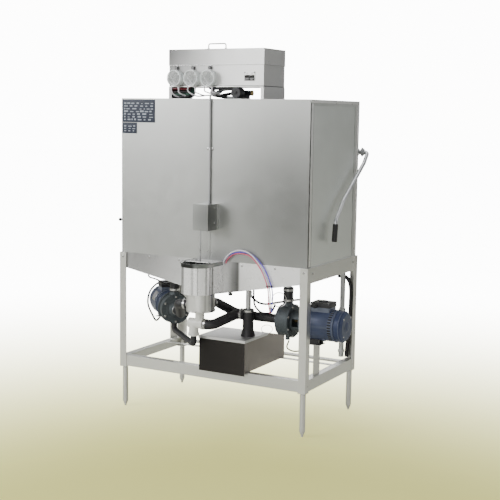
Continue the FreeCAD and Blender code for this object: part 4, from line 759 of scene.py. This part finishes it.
def make_trap_rim():
    """Rolled rim round the mouth of the scrap trap, and its mounting bolts."""
    radius = 86.5
    low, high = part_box("scrap_accumulator")
    z = high.z / MM - 1.5
    nose = -423
    path = [(radius, HOOD - 2, z), (radius, -360, z)]
    for step in range(13):
        angle = math.pi * step / 12
        path.append((radius * math.cos(angle), nose - radius * math.sin(angle), z))
    path += [(-radius, -360, z), (-radius, HOOD - 2, z)]
    rim = Builder()
    rim.tube(path, 3.2, 12, 4)
    rim.sheet([(x, y) for x, y, level in path], 1.2, z - 19, z - 2)
    rim.finish("trap_rim", "rim_steel", "machine")
    screws = Builder()
    for x in (-62, 62):
        for z in (735, 830):
            screws.screw(mm(x, HOOD - 0.2, z), FRONT, 3, 2)
    screws.finish("trap_screws", "fastener_steel", "machine", "fastener_steel")
    ring = Builder()
    ring.band(mm(0, -392, 606), UP, 73.9, 76.2, 3, 9, 56)
    ring.band(mm(0, -392, 606), UP, 73.9, 76.8, 90, 96.5, 56)
    ring.finish("pot_hoops", "polished_steel", "machine", "polished_steel")


# ---------------------------------------------------------------- tubes and hoses

def make_chemical_tubes():
    runs = {
        "white_tube": [(92, -316, 838), (96, -322, 866), (130, -324, 905), (186, -322, 926),
                       (250, -320, 910), (312, -318, 845), (352, -316, 760), (354, -300, 715),
                       (328, -250, 662), (311, -206, 604)],
        "blue_tube": [(84, -310, 842), (88, -314, 862), (120, -316, 896), (186, -314, 917),
                      (256, -313, 906), (322, -312, 846), (364, -312, 762), (366, -296, 706),
                      (340, -250, 655), (317, -210, 600)],
        "red_tube": [(100, -312, 852), (112, -313, 876), (150, -313, 902), (200, -312, 908),
                     (252, -311, 893), (306, -311, 834), (340, -311, 764), (342, -296, 712),
                     (318, -246, 652), (303, -200, 596)],
    }
    for name, path in runs.items():
        tube = Builder()
        tube.tube(path, 3.4, 12, 6)
        tube.finish("chemical_" + name, name, "machine")
    ties = Builder()
    ties.band(mm(353, -312, 757), Vector((0.1, 0.1, -1)).normalized(), 15, 16.6, -2, 2, 28)
    ties.block((366, -318, 753), (374, -311, 759), 0.8)
    ties.finish("tube_tie", "button_black", "machine")


HEADS = (-232, -131, -30)


def make_dispenser_details():
    low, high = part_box("dispenser_covers")
    face = low.y / MM
    hub = Builder()
    squeeze = Builder()
    hanging = Builder()
    for index, x in enumerate(HEADS):
        z = 1792
        hub.band(mm(x, face, z), FRONT, 37.5, 41.5, 0, 2.2, 48, 0.8)
        for angle in (35, 145, 270):
            a = math.radians(angle)
            hub.screw(mm(x + 34 * math.cos(a), face, z + 34 * math.sin(a)), FRONT, 2.4, 1.8)
        arc = []
        for step in range(15):
            a = math.radians(-70 + 320 * step / 14)
            arc.append((x + 33.5 * math.sin(a), face + 17, z + 33.5 * math.cos(a)))
        squeeze.tube([(x - 22, face + 15, z - 52)] + arc[::-1] + [(x + 22, face + 15, z - 52)],
                     3.4, 12, 3)
        drop = 1697 + 4 * index
        hanging.tube([(x - 22, face + 15, z - 46), (x - 21, face + 14, z - 66),
                      (x - 10 + 9 * index, face + 20, drop + 10),
                      (x + 6 + 9 * index, face + 46, drop), (x + 30, face + 90, drop + 2)],
                     3.6, 12, 6)
        hanging.tube([(x + 22, face + 15, z - 46), (x + 24, face + 13, z - 70),
                      (x + 34, face + 22, drop + 14), (x + 50, face + 56, drop + 4),
                      (x + 62, face + 96, drop + 6)], 3.6, 12, 6)
    hub.finish("dispenser_bezels", "cup_plastic", "machine", "cup_plastic")
    squeeze.finish("squeeze_tubes", "white_tube", "machine")
    hanging.finish("hanging_tubes", "white_tube", "machine")
    sockets = Builder()
    panel = -266.2
    for x in HEADS:
        sockets.band(mm(x, panel, 1845), FRONT, 9.8, 11.6, 0, 1.6, 32, 0.4)
    sockets.finish("button_bezels", "fastener_steel", "machine", "fastener_steel")


def make_switch_details():
    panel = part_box("control_box")[0].y / MM
    frame_piece = Builder()
    for x in (186, 214):
        for x0, x1, z0, z1 in ((x - 14, x - 12, 1779, 1807), (x + 12, x + 14, 1779, 1807),
                               (x - 12, x + 12, 1805, 1807), (x - 12, x + 12, 1779, 1781)):
            frame_piece.block((x0, panel - 2, z0), (x1, panel + 0.3, z1), 0.4)
    frame_piece.finish("switch_bezels", "button_black", "machine", "button_black")
    ticks = Builder()
    for x in (186, 214):
        ticks.block((x - 5, panel - 0.6, 1815), (x + 5, panel + 0.2, 1817.5), 0.2)
    for x in (173, 227):
        ticks.screw(mm(x, panel, 1819), FRONT, 2.2, 1.4)
    ticks.finish("switch_marks", "dark_gap", "machine")


def make_cover_details():
    low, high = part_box("control_cover")
    hem = Builder()
    x0, x1, z0 = low.x / MM, high.x / MM, low.z / MM
    hem.tube([(x0 + 1, low.y / MM - 0.2, z0 + 1.4), (x1 - 1, low.y / MM - 0.2, z0 + 1.4)], 1.5, 10, 1)
    for x, out in ((x0, -0.2), (x1, 0.2)):
        hem.tube([(x + out, low.y / MM + 1, z0 + 1.4), (x + out, high.y / MM - 1, z0 + 1.4)],
                 1.5, 10, 1)
    for side in (-1, 1):
        for y in (-220, -86):
            hem.screw(mm(side * x1, y, z0 + 14), Vector((side, 0, 0)), 3.0, 2.0)
        hem.lathe(mm(side * 51, -250, 1940), UP, [(8, 0), (8, 1.2), (6.5, 2.2), (4.2, 4.5)], 28)
    hem.finish("cover_trim", "fastener_steel", "cover", "fastener_steel")


def make_bundle():
    """Supply tubes tied in a bundle under the left end of the control box."""
    rng = random.Random(11)
    colours = ("black_rubber", "green_tube", "black_rubber", "wine_tube", "black_rubber",
               "green_tube", "wine_tube", "black_rubber", "black_rubber", "black_rubber",
               "green_tube", "black_rubber")
    builders = {}
    for index, colour in enumerate(colours):
        tube = builders.setdefault(colour, Builder())
        column, row = divmod(index, 4)
        y = -252 + column * 13 + rng.uniform(-2, 2)
        z = 1698 + row * 13 + rng.uniform(-2, 2)
        sag = rng.uniform(-2, 3)
        left, right = -284 + rng.uniform(-4, 4), -164 + rng.uniform(-9, 9)
        tube.tube([(left + 6, y + 22, 1747), (left, y + 8, z + 16), (left + 12, y, z + sag),
                   (-224, y - 2, z), (right - 12, y + 2, z + 1), (right, y + 10, z + 14),
                   (right - 4, y + 24, 1747)], 6.2, 12, 6)
    for colour, builder in builders.items():
        builder.finish("bundle_" + colour, colour, "machine")


def make_valve_hoses():
    hose = Builder()
    hose.tube([(92, -178, 1719), (60, -205, 1716), (22, -240, 1706), (-8, -250, 1704),
               (-34, -244, 1714), (-44, -222, 1732), (-46, -190, 1746)], 8, 16, 6)
    hose.tube([(120, -250, 1740), (92, -256, 1737), (50, -258, 1733), (10, -256, 1724),
               (-10, -246, 1712), (0, -226, 1700), (30, -200, 1698)], 6.5, 14, 6)
    hose.tube([(118, -228, 1744), (76, -238, 1743), (30, -246, 1740), (-20, -240, 1738),
               (-60, -224, 1742)], 5.5, 14, 6)
    hose.finish("valve_hoses", "black_rubber", "machine", "black_rubber")
    low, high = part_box("fill_valve")
    parts = Builder()
    parts.band(mm(126, -276, 1719), FRONT, 12, 27.4, -0.4, 2.0, 40, 0.8)
    parts.lathe(mm(126, -276, 1719), FRONT, [(8, 0), (8, 3), (6, 5), (2, 5.5)], 24)
    parts.block((118, -262, 1742), (134, -236, 1750), 1.0)
    parts.finish("valve_coil_cap", "coil_black", "machine", "coil_black")
    nuts = Builder()
    nuts.lathe(mm(164, -176, 1719), RIGHT, [(15, 0), (15, 5), (12, 7)], 6)
    nuts.lathe(mm(108, -176, 1719), LEFT, [(17, 0), (17, 9), (15, 10)], 6)
    nuts.finish("valve_nuts", "impeller_brass", "machine")


def make_clamps():
    """Worm-drive clamps on the hoses."""
    clamps = Builder()

    def clamp(x, y, z, axis, radius, turn):
        axis = axis.normalized()
        centre = mm(x, y, z)
        clamps.band(centre, axis, radius, radius + 1.3, -6, 6, 44, 0.3)
        for edge in (-5.6, 5.0):
            clamps.band(centre, axis, radius + 1.0, radius + 1.8, edge, edge + 0.7, 44, 0.2)
        side = axis.orthogonal().normalized()
        side = Matrix.Rotation(math.radians(turn), 3, axis) @ side
        along = axis.cross(side)
        spot = centre + side * ((radius + 3.2) * MM)
        clamps.lathe(spot - along * (9 * MM), along, [(4.4, 0), (4.6, 1), (4.6, 15), (4.0, 17)], 18)
        clamps.lathe(spot + along * (8 * MM), along, [(3.6, 0), (3.6, 4), (2.6, 5)], 6)

    left = Vector((-1, 1, 0)).normalized()
    clamp(26, -380, 536, RIGHT, 26.1, 150)
    clamp(140, -206, 572, RIGHT, 26.1, 60)
    clamp(10, -292, 632, BACK, 24.1, 20)
    clamp(-94, -392, 632, LEFT, 24.1, 100)
    clamp(322, -150, 558, RIGHT, 24.1, 200)
    clamp(-275 - 12 * 0.707, -185 + 12 * 0.707, 545, left, 24.1, 40)
    for x, y, low in ((382.5, -150, 664), (-326.3, -133.7, 651)):
        clamp(x, y, low, UP, 26.1, 30)
        clamp(x, y, 718, UP, 26.1, 210)
    clamp(178, -206, 596, UP, 29.1, 75)
    clamps.finish("hose_clamps", "fastener_steel", "machine", "fastener_steel")
    ring = Builder()
    path = []
    for step in range(28):
        a = math.tau * step / 28
        path.append((357 + 33 * math.cos(a), -206 + 18 * math.cos(a), 671 + 37 * math.sin(a)))
    ring.tube(path, 2.0, 10, 3, True)
    ring.finish("discharge_ring", "polished_steel", "machine")
    bail = Builder()
    path = []
    for step in range(20):
        a = math.tau * step / 20
        path.append((232 + 26 * math.cos(a), -96 + 14 * math.cos(a), 484 + 22 * math.sin(a)))
    bail.tube(path, 1.6, 10, 3, True)
    bail.finish("lid_bail", "polished_steel", "machine")


# ---------------------------------------------------------------- pumps

PUMPS = {
    "right": (mm(310, -150, 558), Vector((1, 0, 0))),
    "left": (mm(-275, -185, 545), Vector((-1, 1, 0)).normalized()),
}


def make_pump_details(side):
    origin, axis = PUMPS[side]
    down = DOWN
    across = down.cross(axis)

    def at(x, y, z):
        return origin + (across * x + down * y + axis * z) * MM

    def around(radius, angle, z):
        a = math.radians(angle)
        return at(radius * math.cos(a), radius * math.sin(a), z)

    def outward(angle):
        a = math.radians(angle)
        return across * math.cos(a) + down * math.sin(a)

    iron = Builder()
    iron.band(origin, axis, 79, 87, 96, 110, 64, 2.5)
    iron.band(origin, axis, 44, 52, 33.6, 37.5, 48, 1.2)
    iron.band(origin, axis, 18.9, 24, -1, 5, 32, 1)
    for step in range(6):
        iron.lathe(around(68, 30 + 60 * step, 34), axis, [(8, 0), (9, 1.5), (9, 6)], 20)
    iron.lathe(at(0, -76, 72.5), -down, [(30, 0), (28, 10), (24, 18), (20.6, 24), (20.4, 30)], 36)
    iron.finish("casing_flanges_" + side, "casing_iron", "machine", "casing_iron")

    bolts = Builder()
    for step in range(8):
        bolts.hexagon(around(80.5, 22.5 + 45 * step, 110), axis, 4.6, 5)
    for step in range(6):
        bolts.hexagon(around(68, 30 + 60 * step, 34), -axis, 4.4, 3.6)
    for step in range(4):
        bolts.hexagon(around(62, 45 + 90 * step, 405), axis, 3.4, 3)
    bolts.finish("pump_bolts_" + side, "fastener_steel", "machine", "fastener_steel")

    shell = Builder()
    shell.band(origin, axis, 76, 83.2, 193, 203, 64, 2)
    shell.band(origin, axis, 80, 83.4, 352, 360, 64, 1.5)
    shell.band(origin, axis, 77, 80.4, 386, 390, 64, 1.0)
    for angle in (60, 120):
        for z in (215, 300):
            foot = around(80.5, angle, z)
            shell.lathe(foot - outward(angle) * (3 * MM), outward(angle),
                        [(13, 0), (11, 5), (9, 8)], 20)
    top = -115
    shell.finish("motor_trim_" + side, "motor_paint", "machine", "motor_paint")
    lid = [(-44.2, 220.8), (44.2, 220.8), (44.2, 325.2), (-44.2, 325.2)]
    cover = Builder()
    make_slab(cover, lid, top - 3, top + 22, at)
    cover.lathe(at(0, top - 3, 273), -down, [(24, 0), (24, 3), (20, 6), (6, 7)], 32)
    cover.finish("terminal_cover_" + side, "coil_black", "machine", "coil_black")
    cradle = Builder()
    drop = origin.z / MM - 455
    length = (188, 262) if side == "right" else (300, 372)
    for x0, x1 in ((-36, -14), (14, 36)):
        make_slab(cradle, [(x0, length[0]), (x1, length[0]), (x1, length[1]), (x0, length[1])],
                  70, drop - 0.3, at)
    cradle.finish("motor_feet_" + side, "coil_black", "machine", "coil_black")

    louvres = Builder()
    # near-black bars under the louvres: painted shade in the vent openings
    slot_shade = Builder()
    for step in range(36):
        angle = step * 10
        if 60 <= angle <= 120:
            continue
        for low, high in ((330, 347), (209, 224)):
            if low == 209 and 240 < angle < 300:
                continue
            slot_box(slot_shade, around, outward, angle, 78.4, low, high, 4.6, 2.9)
            slot_box(louvres, around, outward, angle + 3.6, 79.6, low - 1, high + 1, 1.4, 2.8)
    louvres.finish("motor_louvres_" + side, "motor_paint", "machine", "motor_paint")
    slot_shade.finish("motor_slot_shade_" + side, "dark_gap", "machine")

    end = Builder()
    end.lathe(at(0, 0, 404.6), axis, [(26, 0), (26, 2), (22, 4), (8, 4.6)], 40)
    end.finish("motor_end_cap_" + side, "motor_paint", "machine", "motor_paint")
    plate = Builder()
    curved_plate(plate, around, 81.5, 190, 228, 240, 312)
    plate.finish("motor_plate_" + side, "fastener_steel", "machine", "fastener_steel")

    screws = Builder()
    for x in (-36, 36):
        for z in (229, 317):
            screws.screw(at(x, top - 3, z), -down, 2.6, 2.0)
    screws.finish("terminal_screws_" + side, "fastener_steel", "machine", "fastener_steel")

    gland = Builder()
    edge = -42 if side == "right" else 42
    out = across * (1 if edge > 0 else -1)
    gland.lathe(at(edge, -98, 250), out, [(11, 0), (11, 5), (9, 6), (9, 13), (6.4, 15)], 12)
    gland.finish("cable_gland_" + side, "button_black", "machine", "button_black")


def make_slab(builder, outline, low, high, at):
    """Prism over an outline in the pump's own (x, z) plane, between two heights."""
    first = [builder.bm.verts.new(at(x, low, z)) for x, z in outline]
    last = [builder.bm.verts.new(at(x, high, z)) for x, z in outline]
    faces = [builder.bm.faces.new(first), builder.bm.faces.new(list(reversed(last)))]
    for i in range(len(outline)):
        j = (i + 1) % len(outline)
        faces.append(builder.bm.faces.new((first[j], first[i], last[i], last[j])))
    edges = list({edge for face in faces for edge in face.edges})
    bmesh.ops.bevel(builder.bm, geom=edges, offset=2 * MM, segments=2, profile=0.7,
                    affect="EDGES")


def slot_box(builder, around, outward, angle, radius, low, high, half_angle_mm, depth):
    """Small raised bar lying along the motor at one angle."""
    side = math.degrees(half_angle_mm / radius)
    verts = []
    for z in (low, high):
        for r, a in ((radius, angle - side), (radius, angle + side),
                     (radius + depth, angle + side * 0.8), (radius + depth, angle - side * 0.8)):
            verts.append(builder.bm.verts.new(around(r, a, z)))
    for face in ((3, 2, 1, 0), (4, 5, 6, 7), (0, 1, 5, 4), (1, 2, 6, 5), (2, 3, 7, 6),
                 (3, 0, 4, 7)):
        builder.bm.faces.new([verts[i] for i in face])


def curved_plate(builder, around, radius, first, last, low, high):
    """Thin rectangular plate rolled round the motor between two angles."""
    count = 8
    inner, outer = radius - 0.6, radius + 0.4
    rows = []
    for step in range(count + 1):
        a = first + (last - first) * step / count
        rows.append([builder.bm.verts.new(around(r, a, z))
                     for r, z in ((inner, low), (outer, low), (outer, high), (inner, high))])
    for one, two in zip(rows, rows[1:]):
        for i in range(4):
            j = (i + 1) % 4
            builder.bm.faces.new((one[i], one[j], two[j], two[i]))
    builder.bm.faces.new(rows[0])
    builder.bm.faces.new(list(reversed(rows[-1])))


def make_cables():
    cable = Builder()
    cable.tube([(566, -192, 657), (566, -215, 655), (540, -236, 672), (500, -226, 715),
                (470, -190, 740), (440, -120, 752), (420, 0, 756), (410, 160, 758)], 5.5, 12, 6)
    cable.tube([(-488, 80, 640), (-520, 60, 652), (-548, 20, 640), (-556, -40, 600),
                (-540, -80, 540), (-520, -60, 470), (-540, 10, 430), (-552, 90, 470),
                (-540, 160, 600), (-500, 200, 720), (-430, 240, 762)], 5.5, 12, 6)
    cable.tube([(-380, -60, 640), (-420, -96, 668), (-460, -110, 690), (-520, -100, 700),
                (-548, -40, 716), (-540, 60, 740)], 4.5, 12, 6)
    cable.tube([(330, -30, 420), (300, 10, 372), (330, 30, 352), (400, 10, 372),
                (452, -40, 420), (470, -80, 470)], 4.0, 12, 6)
    cable.tube([(163, -150, 690), (166, -152, 664), (209, -158, 636), (255, -160, 631),
                (300, -156, 640), (352, -150, 652), (420, -120, 664), (470, -100, 668)], 5.5, 12, 6)
    cable.tube([(150, -100, 700), (166, -120, 620), (200, -140, 592), (235, -150, 580),
                (292, -170, 592), (330, -196, 640)], 5.0, 12, 6)
    cable.finish("motor_cables", "black_rubber", "machine", "black_rubber")
    pipe = Builder()
    pipe.tube([(503, 268, 298), (503, 268, 500), (503, 268, 740), (500, 262, 762),
               (480, 240, 772), (440, 200, 772)], 14, 18, 6)
    for z in (330, 560):
        pipe.band(mm(503, 268, z), UP, 13.8, 18, -8, 8, 32, 1.5)
    pipe.finish("supply_pipe", "pipe_steel", "machine", "pipe_steel")
    hose = Builder()
    hose.tube([(470, 280, 745), (520, 284, 735), (545, 280, 690), (549, 276, 600),
               (549, 274, 500), (545, 276, 440), (536, 284, 400), (528, 288, 330),
               (528, 288, 296)], 11, 16, 6)
    hose.finish("supply_hose", "black_rubber", "machine", "black_rubber")


# ---------------------------------------------------------------- lift and back

def make_lever_details():
    boss = Builder()
    boss.lathe(mm(560.5, 348, 1418), RIGHT, [(24, 0), (24, 3), (20, 5), (17, 12)], 40)
    boss.finish("lever_boss", "bearing_iron", "lever", "bearing_iron")
    end = Builder()
    end.lathe(mm(545, 348, 1418), LEFT, [(15, 0), (15, 4), (12, 6)], 32)
    end.finish("shaft_cap", "fastener_steel", "lever", "fastener_steel")
    ribs = Builder()
    low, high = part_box("lever_grip")
    top = mm(594, -50, 1083)
    tip = mm(594, -63, 976)
    heading = (tip - top).normalized()
    start = tip - heading * (88 * MM)
    for step in range(9):
        ribs.band(start + heading * ((10 + 8.5 * step) * MM), heading, 13.2, 14.3, 0, 3.2, 36, 0.8)
    ribs.finish("grip_ribs", "grip_rubber", "lever", "grip_rubber")
    pins = Builder()
    for side in (-1, 1):
        pins.band(mm(side * 530.4, 348, 1418), Vector((side, 0, 0)), 12.6, 19, -2.5, 0, 36, 0.5)
    pins.finish("arm_collars", "fastener_steel", "lever", "fastener_steel")


def make_back_details():
    bolts = Builder()
    for side in (-1, 1):
        for z in (1380, 1456):
            bolts.hexagon(mm(side * 450, 311, z), BACK, 5, 4)
    bolts.finish("bearing_bolts", "fastener_steel", "machine", "fastener_steel")
    conduit = Builder()
    conduit.tube([(-180, -40, 1760), (-180, -10, 1752), (-180, 60, 1712), (-180, 180, 1702),
                  (-180, 290, 1698), (-180, 322, 1680), (-180, 322, 1640), (-180, 322, 1480)],
                 9, 16, 5)
    conduit.tube([(-180, 322, 1350), (-180, 322, 1200), (-180, 322, 1000), (-180, 322, 860),
                  (-184, 322, 800), (-200, 300, 740), (-240, 230, 700), (-300, 140, 690)],
                 9, 16, 5)
    conduit.tube([(-180, 322, 1480), (-180, 326, 1455), (-180, 384, 1450), (-180, 392, 1418),
                  (-180, 384, 1384), (-180, 326, 1376), (-180, 322, 1350)], 9, 16, 5)
    conduit.finish("rear_conduit", "conduit_grey", "machine", "conduit_grey")
    clips = Builder()
    for z in (1600, 1240, 1040, 900):
        clips.band(mm(-180, 322, z), UP, 9, 10.6, -7, 7, 32, 0.3)
        clips.block((-180, 303, z - 7), (-152, 304.6, z + 7), 0.4)
        clips.screw(mm(-160, 304.6, z), BACK, 3.2, 2.2)
    clips.finish("conduit_clips", "fastener_steel", "machine", "fastener_steel")


def make_box_wiring():
    """Terminal strip and wires inside the control box, seen when the cover is lifted."""
    strip = Builder()
    strip.block((-200, -150, 1751), (160, -118, 1772), 1.5)
    for x in range(-190, 160, 20):
        strip.block((x - 7, -154, 1770), (x + 7, -114, 1784), 1.0)
    strip.finish("terminal_strip", "white_pvc", "machine")
    relay = Builder()
    for x in (180, 236):
        relay.block((x - 22, -160, 1751), (x + 22, -100, 1810), 2.0)
    relay.finish("relays", "coil_black", "machine", "coil_black")
    rng = random.Random(5)
    for name in ("blue_tube", "red_tube", "black_rubber"):
        wires = Builder()
        for step in range(5):
            x = -180 + 66 * step + rng.uniform(-14, 14)
            wires.tube([(x, -134, 1785), (x + 6, -134, 1805), (x + 24, -160, 1822),
                        (x + 40, -200, 1830), (x + 46, -236, 1815), (x + 46, -244, 1790)],
                       1.6, 8, 5)
        wires.finish("box_wires_" + name, name, "machine")


make_placards()
make_conduit_clip()
make_cover_screws()
make_hood_fasteners()
make_corner_trim()
make_frame_fasteners()
make_tank_details()
make_trap_rim()
make_chemical_tubes()
make_dispenser_details()
make_switch_details()
make_cover_details()
make_bundle()
make_valve_hoses()
make_clamps()
make_pump_details("right")
make_pump_details("left")
make_cables()
make_lever_details()
make_back_details()
make_box_wiring()


# ---------------------------------------------------------------- stage, light and camera

def make_stage():
    """Round pale floor that fades into the white surround on every side."""
    reach = 40.0
    stage = Builder()
    rings = [stage.ring(Vector((0, 0, 0)), RIGHT, BACK, radius, 64) for radius in (2.0, 8.0, reach)]
    stage.bm.faces.new(rings[0])
    for inner, outer in zip(rings, rings[1:]):
        stage.bridge(inner, outer)
    mesh = bpy.data.meshes.new("studio_floor")
    bmesh.ops.recalc_face_normals(stage.bm, faces=stage.bm.faces)
    stage.bm.to_mesh(mesh)
    stage.bm.free()
    obj = bpy.data.objects.new("studio_floor", mesh)
    n = Nodes("studio_paper")
    grain = n.noise(3.0, 3)
    path = n.add("ShaderNodeLightPath")
    where = n.add("ShaderNodeNewGeometry")
    centre = n.add("ShaderNodeVectorMath", operation="DISTANCE")
    centre.inputs[1].default_value = (1.1, -2.0, 0)
    n.link(where, "Position", centre, 0)
    depth = n.add("ShaderNodeMapRange", interpolation_type="SMOOTHSTEP")
    depth.inputs["From Min"].default_value = 1.2
    depth.inputs["From Max"].default_value = 6.5
    n.link(centre, "Value", depth, "Value")
    seen = n.mix((depth, "Result"), (0.50, 0.49, 0.150), (0.93, 0.93, 0.92))
    even = n.mix((grain, "Fac"), (0.97, 0.97, 0.97), (1.0, 1.0, 1.0))
    paper = n.mix(1.0, (seen, 2), (even, 2), "MULTIPLY")
    n.link(n.mix((path, "Is Camera Ray"), (0.66, 0.66, 0.57), (paper, 2)), 2,
           n.bsdf, "Base Color")
    n.link(paper, 2, n.bsdf, "Emission Color")
    glow = n.add("ShaderNodeMath", operation="MULTIPLY")
    n.link(path, "Is Camera Ray", glow, 0)
    n.link(n.span(depth, "Result", 0.7, 13.5), "Result", glow, 1)
    n.link(glow, "Value", n.bsdf, "Emission Strength")
    n.set(Roughness=0.8)
    mesh.materials.append(n.mat)
    bpy.context.scene.collection.objects.link(obj)


def area_light(name, place, target, size, energy, colour=(1, 1, 1)):
    data = bpy.data.lights.new(name, "AREA")
    data.shape = "RECTANGLE"
    data.size, data.size_y = size
    data.energy = energy
    data.color = colour
    obj = bpy.data.objects.new(name, data)
    obj.location = place
    obj.rotation_euler = (Vector(target) - Vector(place)).to_track_quat("-Z", "Y").to_euler()
    bpy.context.scene.collection.objects.link(obj)


def make_world():
    """Soft studio surround: bright to the front left, dimmer round to the right."""
    world = bpy.data.worlds.new("studio")
    world.use_nodes = True
    tree = world.node_tree
    tree.nodes.clear()
    out = tree.nodes.new("ShaderNodeOutputWorld")
    back = tree.nodes.new("ShaderNodeBackground")
    coord = tree.nodes.new("ShaderNodeTexCoord")
    dot = tree.nodes.new("ShaderNodeVectorMath")
    dot.operation = "DOT_PRODUCT"
    dot.inputs[1].default_value = Vector((-0.72, -0.60, 0.34)).normalized()
    ramp = tree.nodes.new("ShaderNodeValToRGB")
    band = ramp.color_ramp
    band.elements[0].position = 0.0
    band.elements[0].color = (0.36, 0.37, 0.37, 1)
    band.elements[1].position = 1.0
    band.elements[1].color = (0.95, 0.95, 0.94, 1)
    for place, level in ((0.35, 0.30), (0.62, 0.40), (0.84, 0.72)):
        element = band.elements.new(place)
        element.color = (level, level, level, 1)
    span = tree.nodes.new("ShaderNodeMapRange")
    span.inputs["From Min"].default_value = -1
    tree.links.new(coord.outputs["Generated"], dot.inputs[0])
    tree.links.new(dot.outputs["Value"], span.inputs["Value"])
    tree.links.new(span.outputs["Result"], ramp.inputs["Fac"])
    tree.links.new(ramp.outputs["Color"], back.inputs["Color"])
    backdrop = tree.nodes.new("ShaderNodeBackground")
    backdrop.inputs["Color"].default_value = (0.93, 0.93, 0.92, 1)
    backdrop.inputs["Strength"].default_value = 14.0
    path = tree.nodes.new("ShaderNodeLightPath")
    pick = tree.nodes.new("ShaderNodeMixShader")
    tree.links.new(path.outputs["Is Camera Ray"], pick.inputs["Fac"])
    tree.links.new(back.outputs["Background"], pick.inputs[1])
    tree.links.new(backdrop.outputs["Background"], pick.inputs[2])
    tree.links.new(pick.outputs["Shader"], out.inputs["Surface"])
    bpy.context.scene.world = world


def make_camera():
    """Camera at the front right, a little above the middle of the machine."""
    yaw, pitch, roll = (math.radians(v) for v in (28.785, 7.494, 0.839))
    ahead = Vector((-math.sin(yaw) * math.cos(pitch), math.cos(yaw) * math.cos(pitch),
                    -math.sin(pitch)))
    right = Vector((math.cos(yaw), math.sin(yaw), 0))
    up = right.cross(ahead)
    side = right * math.cos(roll) + up * math.sin(roll)
    top = up * math.cos(roll) - right * math.sin(roll)
    data = bpy.data.cameras.new("camera")
    data.sensor_width = 36
    data.lens = 1037.8 / 500 * 36
    data.clip_end = 100
    obj = bpy.data.objects.new("camera", data)
    turn = Matrix((side, top, -ahead)).transposed().to_4x4()
    obj.matrix_world = Matrix.Translation(mm(2748.3, -4875.3, 1616.0)) @ turn
    bpy.context.scene.collection.objects.link(obj)
    bpy.context.scene.camera = obj


make_stage()
area_light("key", (-3.2, -3.6, 3.0), (0, 0, 1.1), (2.6, 2.2), 150)
area_light("front_fill", (1.0, -5.5, 1.4), (0, 0, 0.7), (3.0, 1.6), 60)
area_light("right_fill", (4.2, 1.2, 2.2), (0.3, 0, 0.9), (2.2, 2.4), 30)
area_light("top_light", (0, 0.3, 4.6), (0, 0, 1), (3.0, 2.2), 70)
area_light("back_light", (-1.5, 4.0, 3.0), (0, 0, 1), (3.0, 2.0), 60)
make_world()
make_camera()
